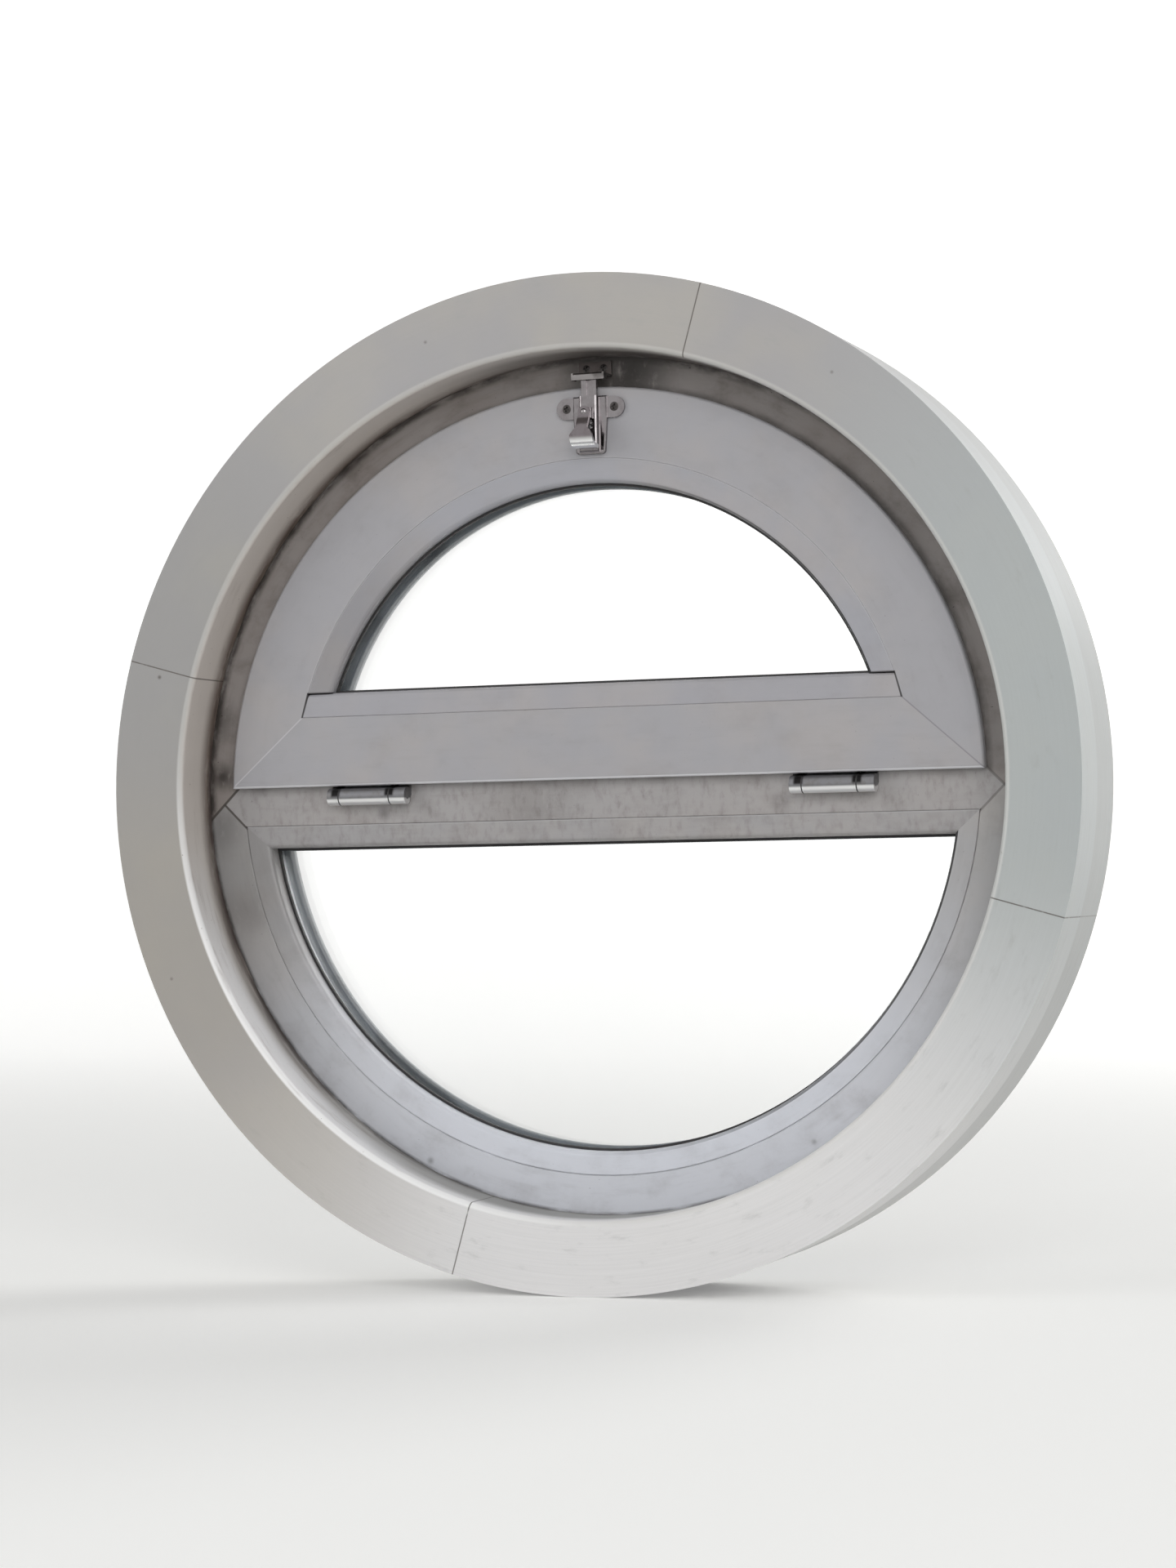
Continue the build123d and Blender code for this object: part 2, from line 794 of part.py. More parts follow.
def catch_bolt():
    """The bolt: a grooved flat bar with a slanted tip, and the stem for the pull."""
    bolt = bolt_space(0)
    groove = bolt_groove_w / 2
    bolt = bolt - slab(catch_x - groove, catch_x + groove, 0, bolt_front + bolt_groove,
                       catch_top, far)
    slant = bar([(bolt_back - bolt_t / 2, bolt_tip), (bolt_back, bolt_tip),
                 (bolt_back, bolt_tip - bolt_t)], far)
    return bolt - slant + bolt_stem() - catch_rivet()


def pull_outline():
    """The pull from the front: a round-topped neck that flares to a wide foot."""
    neck, foot = pull_w / 2, pull_foot_w / 2
    turn, flare = pull_z - pull_neck, pull_z - pull_neck - pull_flare
    low = pull_z - pull_h - pull_t
    half = [(neck, pull_z), (neck, turn), (foot, flare), (foot, low)]
    outline = plate(half + [(-x, z) for x, z in reversed(half)], 0, sash_face)
    outline = fillet(outline.edges().filter_by(Axis.Y).group_by(Axis.Z)[1:3], pull_t)
    top = Pos(0, sash_face / 2, pull_z) * Rot(90, 0, 0) * Cylinder(neck, sash_face)
    return outline + top


def catch_pull():
    """The finger pull: a bent plate that bows out and curls back to the case."""
    middle = pull_back - pull_t / 2
    belly = (middle - pull_bow, pull_z - pull_neck - pull_flare / 2)
    end = (case_front - pull_foot_gap, pull_z - pull_h)
    spine = Spline((middle, pull_z + pull_w / 2), (middle, pull_z), belly, end,
                   tangents=[(0, -1), (1, 0)])
    bent_plate = extrude(Plane.YZ * trace(spine, pull_t), pull_foot_w / 2, both=True)
    return Pos(catch_x, 0, 0) * (bent_plate & pull_outline()) - bolt_stem() - catch_rivet()


def catch_rivet():
    """The domed rivet that holds the pull to the bolt's stem."""
    front = pull_back - pull_t
    length = pull_t + rivet_grip
    shank = Pos(0, front + length / 2, 0) * Rot(90, 0, 0) * Cylinder(rivet_r, length)
    dome_r = (rivet_head_r ** 2 + rivet_head_h ** 2) / (2 * rivet_head_h)
    dome = Pos(0, front - rivet_head_h + dome_r, 0) * Sphere(dome_r)
    head = dome & slab(-dome_r, dome_r, 0, front, -dome_r, dome_r)
    return Pos(catch_x, 0, pull_z) * (shank + head)


def catch_spring():
    """The coil that pushes the bolt up, between its foot and the case's floor."""
    low = catch_top - catch_h + 2 * catch_wall + spring_wire
    high = bolt_tip - bolt_len - spring_wire
    depth = (bolt_front + bolt_back) / 2
    coil = Helix(pitch=(high - low) / spring_turns, height=high - low, radius=spring_r)
    wire = sweep(Plane(coil @ 0, z_dir=coil % 0) * Circle(spring_wire), path=coil)
    return Pos(catch_x, depth, low) * wire


def keeper_screws():
    """The two screws above the keeper's shelf."""
    one = Rot(90, 0, 0) * screw(keeper_screw_len, keeper_screw_r, keeper_head_r)
    z = bolt_tip + bolt_fit + keeper_t + keeper_plate_h / 2
    return [Pos(catch_x + side * keeper_screw_span / 2, frame_face - keeper_t, z) * one
            for side in (-1, 1)]


def keeper():
    """A bent plate: screwed to the frame, out over the bolt and down in front of it."""
    half = keeper_w / 2
    shelf = bolt_tip + bolt_fit
    top, foot = shelf + keeper_t, shelf + keeper_t - keeper_lip
    lip_back = bolt_front - keeper_gap
    front = lip_back - keeper_t
    shape = bar([(frame_face, top + keeper_plate_h), (frame_face, shelf, keeper_t),
                 (lip_back, shelf), (lip_back, foot), (front, foot), (front, top, keeper_t),
                 (frame_face - keeper_t, top), (frame_face - keeper_t, top + keeper_plate_h)],
                half)
    for side in (-1, 1):
        cheek = slab(-keeper_t / 2, keeper_t / 2, front, front + keeper_cheek, foot, top)
        shape = shape + Pos(side * (half - keeper_t / 2), 0, 0) * cheek
    return Pos(catch_x, 0, 0) * shape - keeper_screws()


def write_ring():
    """Timber ring and what is let into it."""
    for number, segment in enumerate(ring_segments(), 1):
        save(f"ring_segment_{number}", segment)
    save("ring_tongues", *ring_tongues())
    save("lip_tape", lip_tape())


def write_frame():
    """Plastic frame, transom and keeper."""
    upper, lower = frame_arches()
    seats = keeper_screws()
    save("frame_arch_upper", upper - seats)
    save("frame_arch_lower", lower)
    save("frame_screws", *fixing_screws())
    save("transom", transom_bar())
    save("transom_steel", transom_steel())
    save("frame_seal", frame_seal())
    save("keeper", keeper())
    save("keeper_screws", *seats)


def write_glazing(prefix, light, beads, blocks):
    """The glass, spacer, gaskets, beads and packers of one light."""
    curved, level = beads
    save(f"{prefix}_inner_pane", light.inner_pane())
    save(f"{prefix}_outer_pane", light.outer_pane())
    save(f"{prefix}_spacer", light.spacer())
    save(f"{prefix}_inner_gasket", light.inner_gasket())
    save(f"{prefix}_outer_gasket", light.outer_gasket())
    save(f"{prefix}_curved_bead", curved)
    save(f"{prefix}_straight_bead", level)
    save(f"{prefix}_blocks", *blocks)


def write_sash():
    """Sash frame, its steel and its seal."""
    arch, rail = sash_frame()
    save("sash_arch", arch)
    save("sash_rail", rail)
    save("sash_rail_steel", sash_steel())
    save("sash_seal", sash_seal())


def write_hinges():
    """Both hinges, with a node for each leaf, pin and set of washers."""
    for side, centre in (("left", -hinge_x), ("right", hinge_x)):
        save(f"hinge_frame_leaf_{side}", frame_leaf(centre))
        save(f"hinge_sash_leaf_{side}", sash_leaf(centre))
        save(f"hinge_pin_{side}", hinge_pin(centre))
        save(f"hinge_washers_{side}", *hinge_washers(centre))
    save("hinge_frame_screws", *leaf_screws(frame_leaf_screw))
    save("hinge_sash_screws", *leaf_screws(sash_leaf_screw))


def write_catch():
    """The sprung catch."""
    save("catch_body", catch_body())
    save("catch_bolt", catch_bolt())
    save("catch_pull", catch_pull())
    save("catch_rivet", catch_rivet())
    save("catch_spring", catch_spring())
    save("catch_screws", *catch_screws())


os.makedirs("parts", exist_ok=True)
write_ring()
write_frame()
write_sash()
write_glazing("lower", lower_light(), lower_beads(), lower_blocks())
write_glazing("sash", sash_light(), sash_beads(), sash_blocks())
write_hinges()
write_catch()
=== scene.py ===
"""A round window: a painted timber ring around a white plastic frame with a tilting sash.

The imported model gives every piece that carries, fits or moves. This script gives each of
them the finish of the real one, models the screws whose heads show, and sets the light
and the camera.
"""
import logging
import math
from dataclasses import dataclass, replace
from enum import Enum
from functools import cache

import bpy
from mathutils import Matrix, Vector


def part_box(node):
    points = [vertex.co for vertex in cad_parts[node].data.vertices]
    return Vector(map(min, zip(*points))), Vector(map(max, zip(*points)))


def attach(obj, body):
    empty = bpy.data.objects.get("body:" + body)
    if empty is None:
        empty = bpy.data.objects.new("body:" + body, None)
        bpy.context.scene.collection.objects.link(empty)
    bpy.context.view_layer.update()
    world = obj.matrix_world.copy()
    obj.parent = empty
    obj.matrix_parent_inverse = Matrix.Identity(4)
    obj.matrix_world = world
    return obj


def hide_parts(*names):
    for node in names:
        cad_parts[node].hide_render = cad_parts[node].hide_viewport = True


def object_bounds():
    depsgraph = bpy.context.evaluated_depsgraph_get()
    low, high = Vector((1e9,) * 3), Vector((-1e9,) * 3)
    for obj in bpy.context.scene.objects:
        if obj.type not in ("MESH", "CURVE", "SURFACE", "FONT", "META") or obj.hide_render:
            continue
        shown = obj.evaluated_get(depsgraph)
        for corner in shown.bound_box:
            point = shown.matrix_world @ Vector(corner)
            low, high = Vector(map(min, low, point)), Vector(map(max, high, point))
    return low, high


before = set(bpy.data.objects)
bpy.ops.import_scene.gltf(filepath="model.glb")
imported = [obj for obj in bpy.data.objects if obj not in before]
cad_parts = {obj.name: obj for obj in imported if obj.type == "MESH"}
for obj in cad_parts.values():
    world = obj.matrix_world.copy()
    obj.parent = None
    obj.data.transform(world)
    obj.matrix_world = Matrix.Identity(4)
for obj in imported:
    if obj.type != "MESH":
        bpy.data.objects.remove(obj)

LOG = logging.getLogger("round_window")
MM = 0.001
CAD_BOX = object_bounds()
# The height, from 0 to 1, that relief rises above and sinks below.
LEVEL = 0.5
# Below this angle between two faces, the light runs smoothly from one to the other.
SMOOTH_DEG = 35.0
# How far apart two heights may be and still be one, in millimetres, and two places, in metres.
SAME_HEIGHT = 0.2
SAME_PLACE = 0.01
# The cosine past which a face counts as looking one way.
SAME_WAY = 0.99

Socket = bpy.types.NodeSocket
Tree = bpy.types.NodeTree


def linear(hex_colour: str) -> tuple[float, float, float, float]:
    """Turn an sRGB hex colour to a linear one.

    Args:
        hex_colour: A colour such as "#c3c3bc".

    Returns:
        Red, green, blue and an alpha of 1.
    """
    parts = [int(hex_colour[i:i + 2], 16) / 255 for i in (1, 3, 5)]
    red, green, blue = (p / 12.92 if p <= 0.04045 else ((p + 0.055) / 1.055) ** 2.4 for p in parts)
    return red, green, blue, 1.0


def add_node(tree: Tree, kind: str, sockets: dict | None = None,
             **settings: object) -> bpy.types.Node:
    """Add a node with its settings and links.

    Args:
        tree: The node tree that gets it.
        kind: The node's type name.
        sockets: For input names or numbers, the socket to link or the value to set.
        settings: Properties of the node itself.

    Returns:
        The new node.
    """
    node = tree.nodes.new(kind)
    for name, value in settings.items():
        setattr(node, name, value)
    for name, value in (sockets or {}).items():
        if isinstance(value, Socket):
            tree.links.new(value, node.inputs[name])
        else:
            node.inputs[name].default_value = value
    return node


def new_material(name: str) -> tuple[bpy.types.Material, Tree]:
    """Make an empty material.

    Args:
        name: The finish's name.

    Returns:
        The material and its cleared node tree.
    """
    material = bpy.data.materials.new(name)
    material.use_nodes = True
    material.node_tree.nodes.clear()
    return material, material.node_tree


@dataclass(frozen=True)
class Patches:
    """Soft patches of noise.

    Their sizes are in millimetres. Low and high are the noise levels at which a patch starts and
    is full, detail is the number of finer layers, and number picks one of many such patterns.
    """

    size: tuple[float, float, float]
    low: float
    high: float
    detail: float = 3.0
    number: float = 0.0


@dataclass(frozen=True)
class Fade:
    """Where a mask is 0 and where it is 1, along the value that it follows: mostly millimetres.

    Either may be the lower value.
    """

    start: float
    end: float

    def at(self, level: float) -> "Fade":
        """The same fade, measured from a level."""
        return Fade(level + self.start, level + self.end)


@dataclass(frozen=True)
class Side:
    """A direction from the window's centre, in degrees from 3 o'clock towards 12, and its reach."""

    towards_deg: float
    spread_deg: float


@dataclass(frozen=True)
class Seam:
    """A straight joint line on the window's face, in millimetres from its middle line."""

    start: tuple[float, float]
    end: tuple[float, float]


@dataclass(frozen=True)
class Smudge:
    """A patch of settled dirt on the window's face: its middle, its reach and its strength."""

    x: float
    height: float
    reach: float
    strength: float


@dataclass(frozen=True)
class DirtAndShadeRim:
    """A ring of dirt and painted shade on the face: where it starts and is full, and its strength.
    """

    fade: Fade
    strength: float


def ramp(tree: Tree, value: Socket, fade: Fade) -> Socket:
    """A mask that rises smoothly along a value.

    Args:
        tree: The material's tree.
        value: The value that it follows.
        fade: Where it is 0 and where it is 1.

    Returns:
        A mask from 0 to 1.
    """
    turned = fade.start > fade.end
    mask = add_node(tree, "ShaderNodeMapRange",
                    {"Value": value, "From Min": min(fade.start, fade.end),
                     "From Max": max(fade.start, fade.end),
                     "To Min": float(turned), "To Max": float(not turned)},
                    interpolation_type="SMOOTHSTEP")
    return mask.outputs[0]


def distance(tree: Tree, value: Socket, level: float) -> Socket:
    """How far a value lies from a level, to either side.

    Args:
        tree: The material's tree.
        value: The value.
        level: The level.

    Returns:
        The distance, never below 0.
    """
    gap = add_node(tree, "ShaderNodeMath", {0: value, 1: level}, operation="SUBTRACT")
    return add_node(tree, "ShaderNodeMath", {0: gap.outputs[0]}, operation="ABSOLUTE").outputs[0]


class Place:
    """Where a point of the surface lies, in millimetres, as sockets of one material.

    Lengths round the window are true at the radius arc_r. Facewise keeps what lies in the face.
    """

    arc_r = 340.0
    facewise = (1, 0, 1)
    noise_roughness = 0.6

    def __init__(self, tree: Tree, seam_deg: float = 270.0) -> None:
        """Add the nodes.

        Args:
            tree: The material's tree.
            seam_deg: The angle at which a pattern round the window starts and ends.
        """
        self.tree = tree
        coords = add_node(tree, "ShaderNodeTexCoord").outputs["Object"]
        self.straight = add_node(tree, "ShaderNodeVectorMath", {0: coords, 3: 1 / MM},
                                 operation="SCALE").outputs[0]
        turn = (0.0, math.radians(seam_deg - 180), 0.0)
        turned = add_node(tree, "ShaderNodeMapping", {"Vector": self.straight, "Rotation": turn})
        self.across = self.part(self.straight, 0)
        self.depth = self.part(self.straight, 1)
        self.height = self.part(self.straight, 2)
        self.side = add_node(tree, "ShaderNodeMath", {0: self.across},
                             operation="ABSOLUTE").outputs[0]
        self.flat = add_node(tree, "ShaderNodeVectorMath", {0: self.straight, 1: self.facewise},
                             operation="MULTIPLY").outputs[0]
        self.radius = add_node(tree, "ShaderNodeVectorMath", {0: self.flat},
                               operation="LENGTH").outputs["Value"]
        self.angle = add_node(tree, "ShaderNodeMath",
                              {0: self.part(turned.outputs[0], 2),
                               1: self.part(turned.outputs[0], 0)},
                              operation="ARCTAN2").outputs[0]
        arc = add_node(tree, "ShaderNodeMath", {0: self.angle, 1: self.arc_r},
                       operation="MULTIPLY")
        self.round = add_node(tree, "ShaderNodeCombineXYZ",
                              {0: arc.outputs[0], 1: self.depth, 2: self.radius}).outputs[0]

    def part(self, vector: Socket, index: int) -> Socket:
        """One coordinate of a vector."""
        return add_node(self.tree, "ShaderNodeSeparateXYZ", {0: vector}).outputs[index]

    def patches(self, shape: Patches, along: Socket, shift: Socket | float = 0.0) -> Socket:
        """Soft patches of noise.

        Args:
            shape: Their sizes and levels.
            along: The position that they follow, straight or round.
            shift: Picks another such pattern: added to the shape's own number, or in its stead
                where it is a socket.

        Returns:
            A mask from 0 to 1.
        """
        number = shift if isinstance(shift, Socket) else shape.number + shift
        scaled = add_node(self.tree, "ShaderNodeVectorMath",
                          {0: along, 1: tuple(1 / s for s in shape.size)}, operation="MULTIPLY")
        noise = add_node(self.tree, "ShaderNodeTexNoise",
                         {"Vector": scaled.outputs[0], "Scale": 1.0, "Detail": shape.detail,
                          "Roughness": self.noise_roughness, "W": number}, noise_dimensions="4D")
        mask = add_node(self.tree, "ShaderNodeMapRange",
                        {"Value": noise.outputs[0], "From Min": shape.low,
                         "From Max": shape.high}, interpolation_type="SMOOTHSTEP")
        return mask.outputs[0]

    def facing(self, side: Side) -> Socket:
        """A mask round one direction from the window's centre.

        Args:
            side: The direction and how far to each side the mask reaches.

        Returns:
            A mask from 0 to 1.
        """
        angle = math.radians(side.towards_deg)
        unit = add_node(self.tree, "ShaderNodeVectorMath", {0: self.flat}, operation="NORMALIZE")
        along = add_node(self.tree, "ShaderNodeVectorMath",
                         {0: unit.outputs[0], 1: (math.cos(angle), 0, math.sin(angle))},
                         operation="DOT_PRODUCT")
        edge = math.cos(math.radians(side.spread_deg))
        return ramp(self.tree, along.outputs["Value"], Fade(edge, 1.0))

    def near(self, smudge: Smudge) -> Socket:
        """A mask that fades away from a smudge's middle.

        Args:
            smudge: The smudge.

        Returns:
            A mask from 0 to 1.
        """
        away = add_node(self.tree, "ShaderNodeVectorMath",
                        {0: self.flat, 1: (smudge.x, 0, smudge.height)},
                        operation="DISTANCE").outputs["Value"]
        return ramp(self.tree, away, Fade(smudge.reach, 0.0))

    def line(self, seam: Seam, width: float) -> Socket:
        """A mask on a straight line across the window's face, and on its mirror image.

        Args:
            seam: The line.
            width: How wide it is, in millimetres.

        Returns:
            A mask from 0 to 1.
        """
        run = Vector((seam.end[0] - seam.start[0], seam.end[1] - seam.start[1])).normalized()
        across = (-run.y, 0.0, run.x)
        here = add_node(self.tree, "ShaderNodeCombineXYZ", {0: self.side, 2: self.height})
        level = add_node(self.tree, "ShaderNodeVectorMath", {0: here.outputs[0], 1: across},
                         operation="DOT_PRODUCT")
        offset = across[0] * seam.start[0] + across[2] * seam.start[1]
        away = distance(self.tree, level.outputs["Value"], offset)
        on_line = ramp(self.tree, away, Fade(width, width / 2))
        ahead = add_node(self.tree, "ShaderNodeVectorMath",
                         {0: here.outputs[0], 1: (run.x, 0.0, run.y)},
                         operation="DOT_PRODUCT").outputs["Value"]
        begin = run.x * seam.start[0] + run.y * seam.start[1]
        finish = run.x * seam.end[0] + run.y * seam.end[1]
        after = ramp(self.tree, ahead, Fade(begin - width, begin))
        before = ramp(self.tree, ahead, Fade(finish + width, finish))
        part = add_node(self.tree, "ShaderNodeMath", {0: on_line, 1: after}, operation="MULTIPLY")
        return add_node(self.tree, "ShaderNodeMath", {0: part.outputs[0], 1: before},
                        operation="MULTIPLY").outputs[0]


@dataclass(frozen=True)
class Layer:
    """A colour laid over others, how thickly it covers and what keeps it to a part.

    Its patches follow the straight axes, or the way round the window where they run round.
    """

    colour: str
    cover: float
    side: Side | None = None
    radius: Fade | None = None
    depth: Fade | None = None
    patches: Patches | None = None
    runs_round: bool = True

    def masks(self, place: Place) -> list[Socket | float]:
        """The masks that keep it to its part, and how thickly it covers.

        Args:
            place: The material's places.

        Returns:
            The masks, of which the last is a number.
        """
        masks = []
        if self.side:
            masks.append(place.facing(self.side))
        if self.radius:
            masks.append(ramp(place.tree, place.radius, self.radius))
        if self.depth:
            masks.append(ramp(place.tree, place.depth, self.depth))
        if self.patches:
            masks.append(place.patches(self.patches,
                                       place.round if self.runs_round else place.straight))
        return [*masks, self.cover]


class Coat:
    """A value or colour of a surface, built up from its base in layers."""

    def __init__(self, place: Place, base: str | float) -> None:
        """Start from a base.

        Args:
            place: The material's places.
            base: A hex colour, or a number such as a roughness.
        """
        self.place = place
        self.colour = isinstance(base, str)
        self.value = linear(base) if self.colour else base

    def lay(self, over: str | float, *masks: Socket | float) -> None:
        """Lay a colour or a value over what is there.

        Args:
            over: The hex colour or number.
            masks: Masks, multiplied together, that say where and how thickly.
        """
        tree = self.place.tree
        factor = masks[0]
        for mask in masks[1:]:
            factor = add_node(tree, "ShaderNodeMath", {0: factor, 1: mask},
                              operation="MULTIPLY").outputs[0]
        if self.colour:
            mix = add_node(tree, "ShaderNodeMix",
                           {0: factor, 6: self.value, 7: linear(over)}, data_type="RGBA")
            self.value = mix.outputs[2]
        else:
            mix = add_node(tree, "ShaderNodeMix", {0: factor, 2: self.value, 3: over},
                           data_type="FLOAT")
            self.value = mix.outputs[0]

    def lay_all(self, layers: tuple[Layer, ...]) -> None:
        """Lay several layers, the lowest first."""
        for layer in layers:
            self.lay(layer.colour, *layer.masks(self.place))


def finish_surface(colour: Coat, roughness: Coat, heights: list[tuple[Coat, float]],
                   **sockets: float) -> None:
    """Close a material with its shader.

    Args:
        colour: The base colour.
        roughness: The roughness.
        heights: Relief layers, each with the depth in millimetres that a value of 1 stands for.
        sockets: Other values of the shader, named with underscores for spaces.
    """
    tree = colour.place.tree
    inputs = {"Base Color": colour.value, "Roughness": roughness.value}
    for name, value in sockets.items():
        inputs["IOR" if name == "ior" else name.replace("_", " ").title()] = value
    for height, depth in heights:
        bump = {"Height": height.value, "Distance": depth * MM}
        if "Normal" in inputs:
            bump["Normal"] = inputs["Normal"]
        inputs["Normal"] = add_node(tree, "ShaderNodeBump", bump).outputs[0]
    shader = add_node(tree, "ShaderNodeBsdfPrincipled", inputs)
    add_node(tree, "ShaderNodeOutputMaterial", {"Surface": shader.outputs[0]})


class Run(Enum):
    """The way that an extruded length runs, which its die lines follow."""

    ROUND = "round the window"
    LEVEL = "level"


# The ring's bore, and the depth at which its lip starts, in millimetres.
BORE_R = 341.0
LIP_DEPTH = 54.5
BORE = Fade(3.0, 0.5).at(BORE_R)
ARRIS = Fade(5.0, 3.0).at(BORE_R)
LIP_EDGE = Fade(-9.0, -1.0).at(LIP_DEPTH)
# The wear, the dirt and the painted shade that recur on the ring.
THIN_PAINT = "#a1a2a0"
# Paint darkened as painted shade, on the ring's left and at the foot of the bore.
SHADOWED_PAINT = "#8f8e8a"
STAIN = "#7d6c62"
# Grime, darkened further as painted shadow where the bore lies in shade.
GRIME_WITH_SHADOW = "#332825"
# The window's left and right half.
LEFT = Fade(5.0, -5.0)
RIGHT = Fade(-5.0, 5.0)


# Planed softwood under brushed satin paint: a soft sheen, broken by brush lines that run along each
# segment, with cracked joints, painted highlights along the bore's edge, and grime with painted
# shade where the bore meets the plastic.
@dataclass(frozen=True)
class PaintedTimber:
    """The ring's painted softwood."""

    name: str = "timber_satin_paint_brushed"
    colour: str = "#a9a7a8"
    crack: str = "#4b433c"
    first_joint_deg: float = 74.0
    joint_line: Fade = Fade(0.75, 0.25)
    joint_gaps: Patches = Patches((9, 9, 9), 0.2, 0.45, 2.0, 7.0)
    joint_cover: float = 0.8
    # Brush lines, coarser than a brush leaves them, so that they show.
    brush: Patches = Patches((90.0, 1.6, 1.6), 0.3, 0.7, 4.0)
    brush_cover: float = 0.1
    brush_depth: float = 0.03
    wave: Patches = Patches((55, 30, 30), 0.3, 0.7, 2.0, 9.0)
    wave_depth: float = 0.2
    roughness: float = 0.34
    brushed_roughness: float = 0.5
    brushed_cover: float = 0.5
    soiled_roughness: float = 0.75
    # Yellowed areas, then painted light: a lighter, cooler right side and a paler foot.
    tones: tuple[Layer, ...] = (
        Layer("#b2aea8", 0.8, patches=Patches((160, 160, 160), 0.42, 0.66), runs_round=False),
        Layer("#b2b9b9", 0.75, side=Side(0, 64)),
        Layer("#f3f2f2", 0.85, side=Side(-80, 72)))
    # Thin paint in patches; painted shade on the ring's left, warm in tint lower down; a beige bore,
    # lighter on its upper left as painted light; a painted highlight low in the bore on the left;
    # and painted shade at the foot of the bore.
    wear_and_painted_light: tuple[Layer, ...] = (
        Layer(THIN_PAINT, 0.35, patches=Patches((26, 9, 9), 0.55, 0.75, 5.0, 2.0)),
        Layer(SHADOWED_PAINT, 0.45, side=Side(172, 55)),
        Layer("#aca498", 0.4, side=Side(212, 44)),
        Layer("#d3cbc4", 0.95, side=Side(150, 78), radius=BORE),
        Layer("#eeedee", 0.9, side=Side(222, 40), radius=BORE, depth=Fade(44.0, 22.0)),
        Layer(SHADOWED_PAINT, 0.9, side=Side(270, 45), radius=BORE, depth=Fade(8.0, 28.0)))
    # Sunk nail heads that show through the paint.
    nails: tuple[Smudge, ...] = (Smudge(-359.0, 96.0, 2.6, 0.8), Smudge(-352.0, -150.0, 2.2, 0.5),
                                 Smudge(214.0, 308.0, 2.2, 0.5), Smudge(-120.0, 354.0, 2.2, 0.5))
    # Grime in the bore with painted shade: brown where it meets the plastic on the upper left, dark
    # at its top; painted highlights along the arris, brightest low on the left; stains that run
    # round the bore; and grime with painted shade where the bore meets the plastic, most on the
    # lower left.
    grime_and_painted_light: tuple[Layer, ...] = (
        Layer("#5f4c40", 0.85, side=Side(156, 74), radius=BORE,
              depth=Fade(-24.0, -4.0).at(LIP_DEPTH),
              patches=Patches((30, 12, 12), 0.2, 0.5, 4.0, 11.0)),
        Layer(GRIME_WITH_SHADOW, 0.9, side=Side(66, 50), radius=BORE, depth=Fade(6.0, 28.0),
              patches=Patches((40, 14, 14), 0.12, 0.42, 4.0, 12.0)),
        Layer("#d8d7d3", 0.5, radius=ARRIS, depth=Fade(4.0, 2.0)),
        Layer("#ffffff", 0.9, side=Side(226, 56), radius=ARRIS, depth=Fade(6.0, 2.5)),
        Layer(STAIN, 0.45, side=Side(218, 42), radius=BORE,
              patches=Patches((70, 9, 9), 0.52, 0.72, 5.0, 3.0)),
        Layer(STAIN, 0.4, radius=BORE, patches=Patches((60, 14, 14), 0.55, 0.8, 5.0, 4.0)),
        Layer(GRIME_WITH_SHADOW, 0.8, radius=BORE, depth=LIP_EDGE,
              patches=Patches((40, 10, 10), 0.3, 0.62, 4.0, 5.0)),
        Layer(GRIME_WITH_SHADOW, 0.8, side=Side(212, 44), radius=BORE,
              depth=Fade(-22.0, -3.0).at(LIP_DEPTH),
              patches=Patches((60, 12, 12), 0.3, 0.6, 4.0, 6.0)))
    # Chips along the arris, and thin paint on the side that faces outdoors.
    edges: tuple[Layer, ...] = (
        Layer(STAIN, 0.8, radius=Fade(7.0, 4.0).at(BORE_R),
              patches=Patches((3.0, 3.0, 3.0), 0.69, 0.73, 3.0, 8.0), runs_round=False),
        Layer(THIN_PAINT, 0.5, radius=Fade(8.0, 20.0).at(BORE_R), depth=Fade(55.0, 60.0)))

    def brush_lines(self, place: Place) -> Socket:
        """Brush lines, other ones on each segment.

        Args:
            place: The material's places, whose angle starts at a joint.

        Returns:
            A mask from 0 to 1.
        """
        quarters = add_node(place.tree, "ShaderNodeMath", {0: place.angle, 1: 2 / math.pi},
                            operation="MULTIPLY")
        segment = add_node(place.tree, "ShaderNodeMath", {0: quarters.outputs[0]},
                           operation="FLOOR")
        return place.patches(self.brush, place.round, segment.outputs[0])

    def joints(self, place: Place) -> Socket:
        """The hairlines between the segments.

        Args:
            place: The material's places, whose angle starts at a joint.

        Returns:
            A mask from 0 to 1.
        """
        turn = add_node(place.tree, "ShaderNodeMath", {0: place.angle, 1: math.pi / 4},
                        operation="PINGPONG")
        away = add_node(place.tree, "ShaderNodeMath", {0: turn.outputs[0], 1: place.radius},
                        operation="MULTIPLY")
        return ramp(place.tree, away.outputs[0], self.joint_line)

